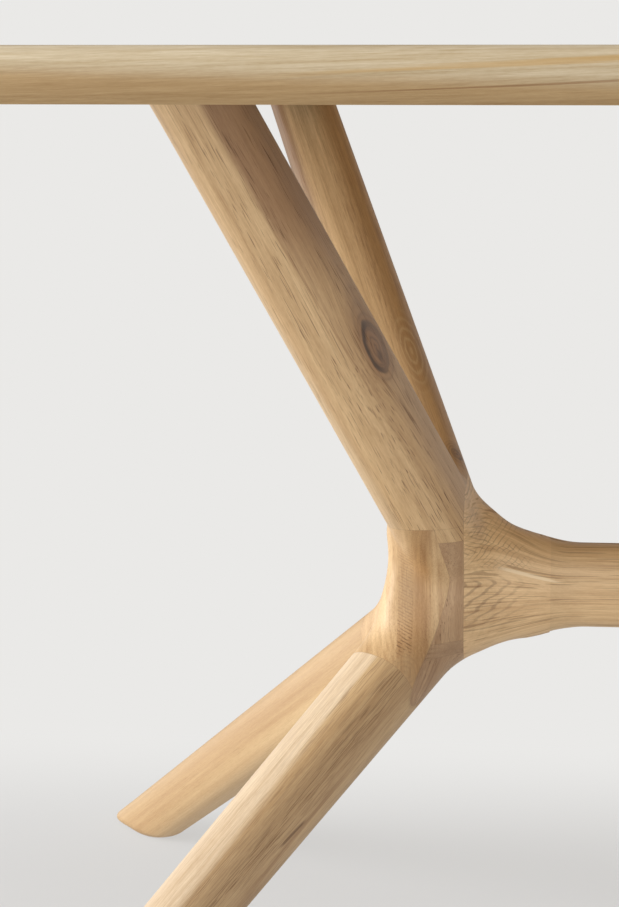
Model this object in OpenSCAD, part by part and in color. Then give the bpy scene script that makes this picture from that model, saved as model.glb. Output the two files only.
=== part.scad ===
// Solid oak dining table: an edge-glued top on two sculpted trestles with one stretcher.
// Every trestle is two bent members that cross at a knot, blended into a flared stretcher end.
// Origin: floor level, at the middle of the table. X runs along the table, Y across it, Z up.

/* [Table] */
// Length of the top
table_l = 2000; // [1700:10:2800]
// Width of the top
table_w = 1000; // [900:10:1200]
// Height from the floor to the top face
table_h = 760; // [735:1:780]

/* [Top] */
// Thickness of the top
top_t = 34; // [30:1:45]
// Number of boards glued edge to edge
board_count = 8; // [6:1:10]
// Radius of the upper edge, down to the widest line
nose_up_r = 12; // [8:1:14]
// Radius of the undercut below the widest line
nose_low_r = 30; // [28:1:40]
// Radius of the corners in plan
corner_r = 36; // [34:1:60]

/* [Trestle] */
// Distance from the end of the top to the middle of a knot
knot_inset = 500; // [420:5:600]
// How far the leg heads stand out from the knot towards the end
head_out = 144; // [110:1:170]
// Distance between the two leg heads across the table
head_spread = 635; // [560:5:700]
// How far the feet stand out from the knot towards the end
foot_out = 306; // [270:1:330]
// Distance between the two feet across the table
foot_spread = 795; // [720:5:850]
// Height where the lines of the lower legs meet the knot
knot_low = 315; // [308:1:322]
// Height where the lines of the upper legs meet the knot
knot_high = 394; // [388:1:402]
// Distance of a member's hub from the middle plane
hub_y = 24.4; // [22:0.1:27]

/* [Leg sections] */
// Half depth of an upper leg at the knot, in its upright plane
upper_knot_a = 43.8; // [40:0.1:46]
// Half width of an upper leg at the knot
upper_knot_b = 30.7; // [28:0.1:33]
// Half depth of an upper leg at its head
upper_head_a = 32; // [29:0.1:35]
// Half width of an upper leg at its head
upper_head_b = 27.7; // [25:0.1:31]
// Turn of the upper leg's section about its own line
upper_turn = -26.5; // [-31:0.5:-21]
// Squareness of the upper leg's section, 2 is an ellipse
upper_power = 2.8; // [2.3:0.05:3.1]
// Half depth of a lower leg at the knot
lower_knot_a = 31.6; // [29:0.1:34]
// Half width of a lower leg at the knot
lower_knot_b = 31.3; // [29:0.1:34]
// Half depth of a lower leg at its foot
lower_foot_a = 26.2; // [24:0.1:30]
// Half width of a lower leg at its foot
lower_foot_b = 21; // [19:0.1:25]
// Turn of the lower leg's section about its own line
lower_turn = 6; // [0:1:11]
// Squareness of the lower leg's section
lower_power = 2.4; // [2.1:0.05:2.8]

/* [Knot] */
// Half length of the hub's oval
hub_a = 44.2; // [42:0.1:47]
// Half width of the hub's oval
hub_b = 15.2; // [14:0.1:18]
// Direction of the hub oval's short axis, from X
hub_turn = 55; // [50:1:60]
// Height where the hub's straight part begins
hub_from = 336.8; // [332:0.1:342]
// Height where the hub's straight part ends
hub_to = 386; // [381:0.5:391]
// Squareness of the hub's section
hub_power = 2.5; // [2.2:0.05:2.8]
// Blend of an upper leg into its hub
upper_blend = 14.8; // [10:0.1:22]
// Blend of a lower leg into its hub
lower_blend = 40.9; // [32:0.1:48]
// Blend of the two members into each other
pair_blend = 18.3; // [14:0.1:24]
// Blend of the stretcher end into the members
stretcher_blend = 36.4; // [30:0.1:42]

/* [Stretcher] */
// Height of the stretcher's middle line
beam_z = 341; // [338:0.5:345]
// Half height of the stretcher
beam_a = 33; // [31:0.1:35]
// Half width of the stretcher
beam_b = 25; // [23:0.1:28]
// Squareness of the stretcher's section
beam_power = 2.6; // [2.2:0.05:3]
// Length of the collar that swells the stretcher end
collar_l = 59.3; // [54:0.1:64]
// Height of the collar's line inside the knot
collar_z = 325; // [321:0.5:330]
// Half height of the collar inside the knot
collar_a = 20.2; // [18:0.1:24]
// Half height of the collar at its outer end
collar_end_a = 37.2; // [35:0.1:39]
// Squareness of the collar's section
collar_power = 2.3; // [2.1:0.05:2.6]
// Blend of the collar into the stretcher
collar_blend = 34; // [28:0.5:40]
// How far the stretcher's underside stands back where it meets the flared end
shoulder = 0.8; // [0.4:0.1:1.6]

/* [Seams] */
// Distance from the knot's middle to the face where the stretcher end is glued on
end_face_x = 22; // [20:0.5:24]
// Length of the flared stretcher end
flare_l = 67; // [60:1:75]
// Height of the seam between an upper leg and its cheek
cheek_top = 400; // [396:1:404]
// Height of the seam between an upper leg and the knot core
core_top = 388; // [384:1:392]
// Thickness of the packer between the core and the heel
packer_t = 11; // [8:1:14]
// Height of the core
core_h = 83; // [80:1:86]
// Distance along the lower leg's line from the knot to its seam
lower_seam = 75.5; // [70:0.5:82]
// Distance from the knot to the long glue plane, at the height of the stretcher
glue_x = 36.1; // [34:0.1:39]
// Turn of the glue plane about the vertical
glue_turn = 26.7; // [24:0.1:29]
// Lean of the glue plane
glue_lean = 7.4; // [5:0.1:9]

/* [Joinery] */
// Diameter of the dowels
dowel_d = 10; // [8:1:12]
// Length of the dowels
dowel_l = 50; // [40:2:56]
// Length of the dowels between two cheeks
short_dowel_l = 40; // [32:2:44]
// Clearance in the bores for dowels, bolts, nuts and glides, on the diameter
bore_fit = 0.1; // [0.05:0.05:0.3]
// Distance between the two dowels of a leg joint
dowel_gap = 22; // [18:1:26]
// Distance between the two dowels of a joint at the cheeks or at the stretcher
wide_gap = 36; // [32:1:38]
// Diameter of the stretcher bolts
bolt_d = 8; // [6:1:10]
// Length of the stretcher bolts
bolt_l = 110; // [90:5:130]
// How far a bolt reaches into the flared stretcher end
bolt_in = 38; // [30:1:42]
// Diameter of the barrel nuts
barrel_d = 16; // [14:1:18]
// Length of the barrel nuts
barrel_l = 36; // [30:1:40]

/* [Top fixing] */
// Width of a steel cross bar
bar_w = 50; // [40:1:60]
// Thickness of a steel cross bar
bar_t = 6; // [5:0.5:8]
// How far a cross bar runs past the leg heads at each end
bar_past = 45; // [40:1:55]
// Clearance round a cross bar in its groove
bar_fit = 0.3; // [0.1:0.1:0.5]
// Diameter of the screws that hold the leg heads
leg_screw_d = 7; // [6:0.5:8]
// Length of the screws that hold the leg heads
leg_screw_l = 38; // [30:1:42]
// Distance from the middle of a leg head to its nearer screw
leg_screw_back = 8; // [6:1:10]
// Distance between the two screws of a leg head
leg_screw_step = 20; // [18:1:22]
// Diameter of the screws that hold the top
top_screw_d = 6; // [5:0.5:8]
// Number of screws that hold the top to each cross bar
top_screw_count = 5; // [3:2:7]
// Distance between those screws
top_screw_step = 110; // [90:5:120]
// Outside diameter of the threaded inserts
insert_d = 11; // [10:0.5:13]
// Length of the threaded inserts
insert_l = 12; // [10:1:14]

/* [Feet] */
// Radius of the rounded edge of a sole
sole_r = 8; // [5:0.5:10]
// Diameter of the glides
glide_d = 20; // [16:1:22]
// Thickness of the glides
glide_t = 4; // [3:0.5:6]
// How far a glide stands below the wood
glide_proud = 1; // [0.5:0.1:2]

/* [Hidden] */
$fn = 64;
// Points of a level section, and the rise between two sections
leg_sides = 22;
ring_step = 9;
ring_min = 0.4;
plain_rings = 2;
sole_shares = [0.15, 0.5, 1];
// Points and rings of a flared end; the rings crowd towards the knot
flare_sides = 32;
flare_rings = 10;
flare_crowd = 1.3;
flare_ray = [30, 49];
flare_mid_z = 352;
flare_max = 2.6;
join_rings = 6;
join_l = 50;
shoulder_l = 18;
// Search for the surface along a ray
search_steps = 12;
ray_max = 2;
tiny = 0.0001;
// Cuts reach past the wood by this much, and half spaces are this wide
cut_margin = 5;
far = 1500;
// Where the lines of a member pass the knot, and how far round it they turn
line_x = 0.5;
lower_line_y = 15.3;
upper_line_y = 28.8;
hub_x = 1.2;
zone_below = 55;
zone_above = 36;
fine_past = 40;
leg_past = 80;
// Places of the dowels, from the middle of the knot
head_dowel_x = -11;
head_dowel_out = 10;
cheek_dowel_x = -16;
cheek_dowel_drop = 6;
flare_dowel_y = 15;
flare_dowel_rise = 4;

under_z = table_h - top_t;
knot_x = table_l / 2 - knot_inset;
board_w = table_w / board_count;
nose_mid_z = top_t - nose_up_r;
stretcher_x = end_face_x + flare_l;
bolt_x = stretcher_x - bolt_in;
core_bottom = core_top - core_h;
packer_bottom = core_bottom - packer_t;
bar_half_l = head_spread / 2 + bar_past;
hub_mid_z = (hub_from + hub_to) / 2;
hub_middle = [hub_x, hub_y, hub_mid_z];
sole_z = glide_proud;
zone_low = knot_low - zone_below;
zone_high = knot_high + zone_above;
fine_low = zone_low - fine_past;
fine_high = zone_high + fine_past;
bore_d = dowel_d + bore_fit;

oak = "#c9a473";
oak_pale = "#d9bb8d";
oak_deep = "#b48c5a";
beech = "#d8bf97";
steel = "#8f9296";
plastic = "#4a4643";

// Names of all the pieces
sides = ["left", "right"];
rows = ["front", "rear"];
member_parts = ["upper_leg", "cheek", "core", "packer", "heel", "lower_leg"];
hidden_parts = ["head_dowels", "leg_dowels", "cheek_dowels", "flare_dowels", "stretcher_dowels",
    "stretcher_bolts", "barrel_nuts", "leg_screws", "top_screws", "top_inserts", "glides"];

// Lines of the trestle, for the rear member of the left trestle, seen from its own knot
foot_point = [-foot_out, foot_spread / 2, 0];
head_point = [-head_out, head_spread / 2, under_z];
lower_start = [line_x, lower_line_y, knot_low];
upper_start = [line_x, upper_line_y, knot_high];

function unit(v) = v / norm(v);
function mix(a, b, k) = a + (b - a) * k;
function ease(k) = let (c = min(max(k, 0), 1)) c * c * (3 - 2 * c);
function level_side(run) = unit([run.y, -run.x, 0]);

// A limb: start, direction, length, two section directions, half sizes at both ends, squareness,
// and how far it runs on past its end
function limb(from, to, side, turn, size_from, size_to, power, past = 0) =
    let (run = unit(to - from), face = cross(side, run))
    [from, run, norm(to - from),
        face * cos(turn) + side * sin(turn), side * cos(turn) - face * sin(turn),
        size_from, size_to, power, past];

lower_run = unit(foot_point - lower_start);
upper_run = unit(head_point - upper_start);
lower_limb = limb(lower_start, foot_point, level_side(lower_run), lower_turn,
    [lower_knot_a, lower_knot_b], [lower_foot_a, lower_foot_b], lower_power, leg_past);
upper_limb = limb(upper_start, head_point, level_side(upper_run), upper_turn,
    [upper_knot_a, upper_knot_b], [upper_head_a, upper_head_b], upper_power, leg_past);
hub_limb = limb([hub_x, hub_y, hub_from], [hub_x, hub_y, hub_to],
    [cos(hub_turn), sin(hub_turn), 0], 0, [hub_a, hub_b], [hub_a, hub_b], hub_power);
beam_limb = limb([0, 0, beam_z], [knot_x, 0, beam_z], [0, -1, 0], 0,
    [beam_a, beam_b], [beam_a, beam_b], beam_power);
collar_limb = limb([0, 0, collar_z], [collar_l, 0, beam_z], [0, -1, 0], 0,
    [collar_a, beam_b], [collar_end_a, beam_b], collar_power);

// How far a point lies outside a limb, negative inside
function limb_gap(p, m) =
    let (
        q = p - m[0],
        along = q * m[1],
        held = min(max(along, 0), m[2]),
        size = mix(m[5], m[6], held / m[2]),
        u = q * m[3],
        v = q * m[4],
        over = along - min(max(along, 0), m[2] + m[8]),
        ratio = pow(pow(abs(u / size[0]), m[7]) + pow(abs(v / size[1]), m[7]), 2 / m[7])
            + over * over / (size[0] * size[1])
    )
    norm([u, v, over]) * (1 - 1 / sqrt(max(ratio, tiny)));

// The nearer of two gaps, rounded over where they are alike
function blend(a, b, k) =
    let (h = max(k - abs(a - b), 0) / k)
    min(a, b) - h * h * k / 4;

function member_gap(p) =
    blend(blend(limb_gap(p, upper_limb), limb_gap(p, hub_limb), upper_blend),
        limb_gap(p, lower_limb), lower_blend);
function stretcher_gap(p) =
    blend(limb_gap(p, beam_limb), limb_gap(p, collar_limb), collar_blend);
function knot_gap(p) =
    blend(blend(member_gap(p), member_gap([p.x, -p.y, p.z]), pair_blend),
        stretcher_gap(p), stretcher_blend);

// How many times the step e fits between the point c and the surface
function reach(c, e, near, stop, n) =
    let (half = (near + stop) / 2)
    n == 0 ? half
    : knot_gap(c + e * half) < 0 ? reach(c, e, half, stop, n - 1)
    : reach(c, e, near, half, n - 1);
function edge_step(c, e, limit) =
    knot_gap(c + e * limit) < 0 ? limit : reach(c, e, 0, limit, search_steps);

// Middle of a member at height z, and the two half axes of its level section
function line_at(from, run, z) = from + run * ((z - from.z) / run.z);
function member_middle(z) =
    z < zone_low ? line_at(lower_start, lower_run, z)
    : z > zone_high ? line_at(upper_start, upper_run, z)
    : z < hub_mid_z ? mix(line_at(lower_start, lower_run, zone_low), hub_middle,
        (z - zone_low) / (hub_mid_z - zone_low))
    : mix(hub_middle, line_at(upper_start, upper_run, zone_high),
        (z - hub_mid_z) / (zone_high - hub_mid_z));
function level_axes(m, flip) = [
    (m[3] - m[1] * (m[3].z / m[1].z)) * (flip * (m[5][0] + m[6][0]) / 2),
    (m[4] - m[1] * (m[4].z / m[1].z)) * ((m[5][1] + m[6][1]) / 2)
];
lower_axes = level_axes(lower_limb, -1);
upper_axes = level_axes(upper_limb, 1);
function member_axes(z) =
    let (k = ease((z - zone_low) / (zone_high - zone_low)))
    [mix(lower_axes[0], upper_axes[0], k), mix(lower_axes[1], upper_axes[1], k)];

// A ray stops just past the middle plane and just past the glued end face
function ray_limit(c, e) = min(
    ray_max,
    e.y < -tiny ? (c.y + cut_margin) / -e.y : ray_max,
    e.x > tiny && c.z < zone_high && c.z > fine_low
        ? (end_face_x + cut_margin - c.x) / e.x : ray_max
);
function sole_inset(z) =
    let (rise = min(max(sole_r - (z - sole_z), 0), sole_r))
    sole_r - sqrt(sole_r * sole_r - rise * rise);
function member_ring(z) =
    let (c = member_middle(z), axes = member_axes(z), inset = sole_inset(z))
    [for (i = [0:leg_sides - 1])
        let (
            turn = 360 * (i + 0.5) / leg_sides,
            e = axes[0] * cos(turn) + axes[1] * sin(turn),
            step = edge_step(c, e, ray_limit(c, e))
        )
        c + e * (step - inset / norm(e))];

// Heights of the level sections: close together through the knot, sparse along the straight legs
ring_heights = concat(
    [for (k = sole_shares) sole_z + k * sole_r],
    [for (k = [1:plain_rings]) mix(sole_z, fine_low, k / (plain_rings + 1))],
    [for (z = [fine_low:ring_step:fine_high]) z],
    [for (k = [1:plain_rings]) mix(fine_high, under_z, k / (plain_rings + 1))]
);
function rings_between(z0, z1) =
    concat([z0], [for (z = ring_heights) if (z > z0 + ring_min && z < z1 - ring_min) z], [z1]);

function middle_of(ring) = [for (p = ring) 1 / len(ring)] * ring;

// A closed skin over rings that all have the same number of points
module skin(rings) {
    n = len(rings[0]);
    last = len(rings) - 1;
    walls = [for (j = [0:last - 1], i = [0:n - 1])
        let (k = (i + 1) % n)
        each [[j * n + i, (j + 1) * n + k, j * n + k], [j * n + i, (j + 1) * n + i, (j + 1) * n + k]]];
    floor_middle = (last + 1) * n;
    caps = [for (i = [0:n - 1])
        let (k = (i + 1) % n)
        each [[floor_middle, i, k], [floor_middle + 1, last * n + k, last * n + i]]];
    points = concat([for (r = rings) each r], [middle_of(rings[0]), middle_of(rings[last])]);
    polyhedron(points, concat(walls, caps), convexity = 6);
}

// The sculpted blank of a member between two heights, past the planes that cut it
module blank(z0, z1) {
    skin([for (z = rings_between(z0, z1)) member_ring(z)]);
}

// Lowest and highest level that the lower seam reaches
seam_middle = lower_start + lower_run * lower_seam;
seam_low_z = seam_middle.z - lower_knot_a;
seam_high_z = seam_middle.z + lower_knot_a;

// Half spaces
module behind_middle() {
    translate([-far / 2, 0, 0]) cube([far / 2 + end_face_x, far, far]);
}
module inner_side() {
    translate([glue_x, 0, beam_z])
        rotate([0, glue_lean, glue_turn])
        translate([0, -far / 2, -far / 2])
        cube(far);
}
module below_lower_seam() {
    translate(seam_middle)
        rotate([0, acos(lower_run.z), atan2(lower_run.y, lower_run.x)])
        translate([-far / 2, -far / 2, 0])
        cube(far);
}

// A round bar from one point to another
module rod(from, to, d) {
    run = to - from;
    translate(from)
        rotate([0, acos(run.z / norm(run)), atan2(run.y, run.x)])
        cylinder(d = d, h = norm(run));
}
module rod_about(middle, run, l, d) {
    rod(middle - run * (l / 2), middle + run * (l / 2), d);
}

// Dowels of the rear member: leg to cheek, cheek to lower leg
module head_dowels_at(d) {
    for (k = [-0.5, 0.5])
        rod_about([head_dowel_x, hub_y + head_dowel_out + k * dowel_gap, cheek_top],
            [0, 0, 1], dowel_l, d);
}
module leg_dowels_at(d) {
    for (k = [-0.5, 0.5])
        rod_about(seam_middle + lower_limb[3] * (k * dowel_gap), lower_run, dowel_l, d);
}
// Dowels between the two cheeks, and from the cheeks into the stretcher end
module cheek_dowels_at(d) {
    for (k = [-0.5, 0.5])
        rod_about([cheek_dowel_x, 0, hub_mid_z - cheek_dowel_drop + k * wide_gap],
            [0, 1, 0], short_dowel_l, d);
}
module flare_dowels_at(d) {
    for (k = [-0.5, 0.5])
        rod_about([end_face_x, flare_dowel_y, beam_z + flare_dowel_rise + k * wide_gap],
            [1, 0, 0], dowel_l, d);
}
module stretcher_dowels_at(d) {
    for (k = [-0.5, 0.5])
        rod_about([stretcher_x, 0, beam_z + k * wide_gap], [1, 0, 0], dowel_l, d);
}
// Pieces of the rear member of the left trestle
module upper_leg() {
    color(oak)
        difference() {
            intersection() {
                blank(core_top, under_z);
                behind_middle();
            }
            difference() {
                translate([-far / 2, -far / 2, core_top - cut_margin])
                    cube([far, far, cheek_top - core_top + cut_margin]);
                inner_side();
            }
            head_dowels_at(bore_d);
            leg_screw_holes();
        }
}
module cheek() {
    color(oak_pale)
        difference() {
            intersection() {
                blank(seam_low_z, cheek_top);
                behind_middle();
            }
            inner_side();
            below_lower_seam();
            head_dowels_at(bore_d);
            leg_dowels_at(bore_d);
            cheek_dowels_at(bore_d);
            flare_dowels_at(bore_d);
        }
}
module inner_piece(z0, z1) {
    intersection() {
        blank(z0, z1);
        behind_middle();
        inner_side();
    }
}
module core() {
    color(oak_deep) inner_piece(core_bottom, core_top);
}
module packer() {
    color(oak) inner_piece(packer_bottom, core_bottom);
}
module heel() {
    color(oak_deep) inner_piece(seam_low_z, packer_bottom);
}
module lower_leg() {
    color(oak)
        difference() {
            intersection() {
                blank(sole_z, seam_high_z);
                behind_middle();
                below_lower_seam();
            }
            inner_side();
            leg_dowels_at(bore_d);
            translate([foot_point.x, foot_point.y, 0])
                cylinder(d = glide_d + bore_fit, h = glide_t);
        }
}

// The flared stretcher end
function flare_ring(x) =
    let (c = [x, 0, mix(flare_mid_z, beam_z, ease((x - end_face_x) / flare_l))])
    [for (i = [0:flare_sides - 1])
        let (
            turn = 360 * (i + 0.5) / flare_sides,
            e = [0, cos(turn) * flare_ray.x, sin(turn) * flare_ray.y]
        )
        c + e * edge_step(c, e, flare_max)];
module flare() {
    color(oak_pale)
        difference() {
            skin([for (k = [0:flare_rings])
                flare_ring(end_face_x + flare_l * pow(k / flare_rings, flare_crowd))]);
            for (m = [0, 1])
                mirror([0, m, 0]) flare_dowels_at(bore_d);
            stretcher_dowels_at(bore_d);
            bolt_at(bolt_d + bore_fit);
        }
}

// Stretcher between the two flared ends, whose curve it takes up and lets run out
function stretcher_ring(x) =
    let (fade = 1 - ease((x - stretcher_x) / shoulder_l))
    [for (p = flare_ring(x)) p + [0, 0, shoulder * fade * ease((beam_z - p.z) / beam_a)]];
module bolt_at(d) {
    rod([bolt_x, 0, beam_z], [bolt_x + bolt_l, 0, beam_z], d);
}
module barrel_at(d, l) {
    rod_about([bolt_x + bolt_l - barrel_d, 0, beam_z], [0, 0, 1], l, d);
}
module stretcher() {
    joint = [for (k = [0:join_rings])
        stretcher_ring(stretcher_x + join_l * pow(k / join_rings, flare_crowd))];
    left_end = [for (ring = joint) [for (p = ring) [p.x - knot_x, p.y, p.z]]];
    right_end = [for (k = [join_rings:-1:0]) [for (p = joint[k]) [knot_x - p.x, p.y, p.z]]];
    color(oak)
        difference() {
            skin(concat(left_end, right_end));
            for (side = sides)
                place(side) {
                    stretcher_dowels_at(bore_d);
                    bolt_at(bolt_d + bore_fit);
                    barrel_at(barrel_d + bore_fit, barrel_l + bore_fit);
                }
        }
}

// Steel cross bars let into the underside of the top
module leg_screw_spots() {
    lean = unit([upper_run.x, upper_run.y]);
    for (back = [leg_screw_back, leg_screw_back + leg_screw_step])
        translate([head_point.x - lean.x * back, head_point.y - lean.y * back, under_z])
            children();
}
module top_screw_spots() {
    for (k = [0:top_screw_count - 1])
        translate([head_point.x, (k - (top_screw_count - 1) / 2) * top_screw_step, under_z])
            children();
}
module countersunk(d, l, head_t) {
    rotate_extrude()
        polygon([[0, 0], [d, 0], [d / 2, head_t], [d / 2, l], [0, l]]);
}
module leg_screw_holes() {
    leg_screw_spots()
        translate([0, 0, -leg_screw_l]) cylinder(d = leg_screw_d, h = leg_screw_l);
}
module bar_shape(margin, t) {
    translate([head_point.x, 0, under_z])
        linear_extrude(t)
        union() {
            square([bar_w + 2 * margin, 2 * bar_half_l - bar_w], center = true);
            for (end = [-1, 1])
                translate([0, end * (bar_half_l - bar_w / 2)]) circle(d = bar_w + 2 * margin);
        }
}
module leg_screw_shape() {
    leg_screw_spots()
        translate([0, 0, bar_t])
        mirror([0, 0, 1])
        countersunk(leg_screw_d, leg_screw_l + bar_t, leg_screw_d / 2);
}
module top_screw_shape() {
    top_screw_spots()
        countersunk(top_screw_d, bar_t + bar_fit + insert_l, top_screw_d / 2);
}
module cross_bar() {
    color(steel)
        difference() {
            bar_shape(0, bar_t);
            leg_screw_shape();
            mirror([0, 1, 0]) leg_screw_shape();
            top_screw_shape();
        }
}
module insert_bores() {
    top_screw_spots()
        translate([0, 0, bar_t]) cylinder(d = insert_d, h = bar_fit + insert_l);
}
module inserts() {
    top_screw_spots()
        translate([0, 0, bar_t + bar_fit])
        difference() {
            cylinder(d = insert_d, h = insert_l);
            cylinder(d = top_screw_d, h = insert_l);
        }
}

// Boards of the top
module nose(l) {
    translate([-l, 0]) square([l - nose_low_r, nose_mid_z]);
    intersection() {
        translate([-nose_low_r, nose_mid_z]) circle(nose_low_r);
        translate([-nose_low_r, 0]) square([nose_low_r, nose_mid_z]);
    }
    translate([-l, nose_mid_z]) square([l - nose_up_r, nose_up_r]);
    intersection() {
        translate([-nose_up_r, nose_mid_z]) circle(nose_up_r);
        translate([-nose_up_r, nose_mid_z]) square(nose_up_r);
    }
}
module strip(y0, y1) {
    translate([0, y1, 0])
        rotate([90, 0, 0])
        linear_extrude(y1 - y0)
        union() {
            translate([table_l / 2, 0]) nose(table_l / 2);
            mirror([1, 0]) translate([table_l / 2, 0]) nose(table_l / 2);
        }
}
// The outer board of the rear edge, with its rounded corners
module edge_board() {
    inner_x = table_l / 2 - corner_r;
    inner_y = table_w / 2 - corner_r;
    strip(table_w / 2 - board_w, inner_y);
    translate([-inner_x, inner_y, 0])
        rotate([90, 0, 90])
        linear_extrude(2 * inner_x)
        translate([corner_r, 0]) nose(corner_r);
    for (m = [0, 1])
        mirror([m, 0, 0])
            translate([inner_x, inner_y, 0])
            rotate_extrude(angle = 90)
            translate([corner_r, 0]) nose(corner_r);
}
module top_board(i) {
    y0 = -table_w / 2 + (i - 1) * board_w;
    color(i % 2 == 0 ? oak : oak_pale)
        difference() {
            translate([0, 0, under_z])
                if (i == 1) mirror([0, 1, 0]) edge_board();
                else if (i == board_count) edge_board();
                else strip(y0, y0 + board_w);
            for (side = sides)
                place(side) {
                    bar_shape(bar_fit, bar_t + bar_fit);
                    insert_bores();
                }
        }
}

// Moves a piece made at the left knot to its own place
module place(side, row = "rear") {
    mirror([side == "right" ? 1 : 0, 0, 0])
        translate([-knot_x, 0, 0])
        mirror([0, row == "front" ? 1 : 0, 0])
        children();
}
module on_both_sides() {
    for (side = sides) place(side) children();
}
module on_all_members() {
    for (side = sides, row = rows) place(side, row) children();
}

// Hidden hardware, one group of separate solids in each node
module head_dowels() {
    color(beech) on_all_members() head_dowels_at(dowel_d);
}
module leg_dowels() {
    color(beech) on_all_members() leg_dowels_at(dowel_d);
}
module cheek_dowels() {
    color(beech) on_both_sides() cheek_dowels_at(dowel_d);
}
module flare_dowels() {
    color(beech) on_all_members() flare_dowels_at(dowel_d);
}
module stretcher_dowels() {
    color(beech) on_both_sides() stretcher_dowels_at(dowel_d);
}
module stretcher_bolts() {
    color(steel) on_both_sides() bolt_at(bolt_d);
}
module barrel_nuts() {
    color(steel)
        on_both_sides()
        difference() {
            barrel_at(barrel_d, barrel_l);
            bolt_at(bolt_d + bore_fit);
        }
}
module leg_screws() {
    color(steel) on_all_members() leg_screw_shape();
}
module top_screws() {
    color(steel) on_both_sides() top_screw_shape();
}
module top_inserts() {
    color(steel) on_both_sides() inserts();
}
module glides() {
    color(plastic)
        on_all_members()
        translate([foot_point.x, foot_point.y, 0]) cylinder(d = glide_d, h = glide_t);
}

module member_part(part) {
    if (part == "upper_leg") upper_leg();
    if (part == "cheek") cheek();
    if (part == "core") core();
    if (part == "packer") packer();
    if (part == "heel") heel();
    if (part == "lower_leg") lower_leg();
}

for (i = [1:board_count])
    top_board(i);
for (part = member_parts, side = sides, row = rows)
    place(side, row) member_part(part);
for (side = sides)
    place(side) flare();
stretcher();
for (side = sides)
    place(side) cross_bar();
head_dowels();
leg_dowels();
cheek_dowels();
flare_dowels();
stretcher_dowels();
stretcher_bolts();
barrel_nuts();
leg_screws();
top_screws();
top_inserts();
glides();
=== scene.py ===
# Solid oak dining table: a top of eight boards on two sculpted trestles, joined by one stretcher.
import math
import bmesh
import bpy
import numpy as np
from mathutils import Matrix, Vector


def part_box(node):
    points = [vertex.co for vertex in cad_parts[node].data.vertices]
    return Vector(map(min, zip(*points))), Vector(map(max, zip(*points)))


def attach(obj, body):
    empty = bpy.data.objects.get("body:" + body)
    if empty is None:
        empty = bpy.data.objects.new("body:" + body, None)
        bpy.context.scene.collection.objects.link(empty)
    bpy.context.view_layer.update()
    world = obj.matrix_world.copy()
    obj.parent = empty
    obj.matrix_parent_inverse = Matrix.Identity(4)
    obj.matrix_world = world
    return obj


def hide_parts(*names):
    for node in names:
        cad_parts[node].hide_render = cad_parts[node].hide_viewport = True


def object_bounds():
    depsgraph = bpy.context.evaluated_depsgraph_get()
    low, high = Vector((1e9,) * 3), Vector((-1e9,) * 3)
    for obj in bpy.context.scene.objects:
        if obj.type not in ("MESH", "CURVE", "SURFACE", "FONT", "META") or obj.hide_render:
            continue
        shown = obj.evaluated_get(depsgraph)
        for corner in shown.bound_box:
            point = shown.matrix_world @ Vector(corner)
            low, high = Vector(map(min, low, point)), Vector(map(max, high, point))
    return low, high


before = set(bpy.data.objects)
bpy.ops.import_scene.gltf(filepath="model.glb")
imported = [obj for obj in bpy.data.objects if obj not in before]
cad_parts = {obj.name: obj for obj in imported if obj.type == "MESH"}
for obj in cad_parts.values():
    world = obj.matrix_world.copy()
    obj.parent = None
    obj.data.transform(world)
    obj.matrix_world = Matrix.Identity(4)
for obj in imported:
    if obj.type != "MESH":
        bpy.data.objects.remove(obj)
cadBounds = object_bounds()
scene = bpy.context.scene
print("frame loaded:", len(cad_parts), "nodes")

endFace = 0.022  # from the middle of a knot to the joint with its flared end
table = {
    "length": cadBounds[1].x - cadBounds[0].x,
    "width": cadBounds[1].y - cadBounds[0].y,
    "height": cadBounds[1].z,
    "underside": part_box("top_board_4")[0].z,
    "knotX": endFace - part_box("flare_left")[0].x,  # distance of a knot from the table's middle
    "boards": 8,
}
sides = {"Left": 1, "Right": -1}
rows = {"Rear": 1, "Front": -1}


# Node maths as Python expressions

class Wire:
    def __init__(self, nodes, socket):
        self.nodes = nodes
        self.socket = socket

    def __add__(self, other):
        return self.nodes.math("ADD", self, other)

    def __sub__(self, other):
        return self.nodes.math("SUBTRACT", self, other)

    def __mul__(self, other):
        return self.nodes.math("MULTIPLY", self, other)

    def __truediv__(self, other):
        return self.nodes.math("DIVIDE", self, other)

    def __rsub__(self, other):
        return self.nodes.math("SUBTRACT", other, self)

    def __rtruediv__(self, other):
        return self.nodes.math("DIVIDE", other, self)

    def __pow__(self, other):
        return self.nodes.math("POWER", self, other)

    def __neg__(self):
        return self.nodes.math("MULTIPLY", self, -1)

    def __abs__(self):
        return self.nodes.math("ABSOLUTE", self)

    __radd__ = __add__
    __rmul__ = __mul__

    def smooth(self, low, high):
        return self.nodes.node("ShaderNodeMapRange", {"interpolation_type": "SMOOTHSTEP"},
                                {"Value": self, "From Min": low, "From Max": high})


class Nodes:
    def __init__(self, tree):
        self.tree = tree
        self.tree.nodes.clear()

    def node(self, kind, settings=None, inputs=None, output=0):
        made = self.tree.nodes.new(kind)
        for key, value in (settings or {}).items():
            setattr(made, key, value)
        for key, value in (inputs or {}).items():
            socket = made.inputs[key]
            if isinstance(value, Wire):
                self.tree.links.new(value.socket, socket)
            else:
                socket.default_value = value
        return None if output is None else Wire(self, made.outputs[output])

    def math(self, operation, *values):
        return self.node("ShaderNodeMath", {"operation": operation}, dict(enumerate(values)))

    def split(self, vector):
        parts = self.node("ShaderNodeSeparateXYZ", {}, {"Vector": vector}).socket.node
        return [Wire(self, parts.outputs[i]) for i in range(3)]

    def join(self, x, y, z):
        return self.node("ShaderNodeCombineXYZ", {}, {"X": x, "Y": y, "Z": z})


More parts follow.
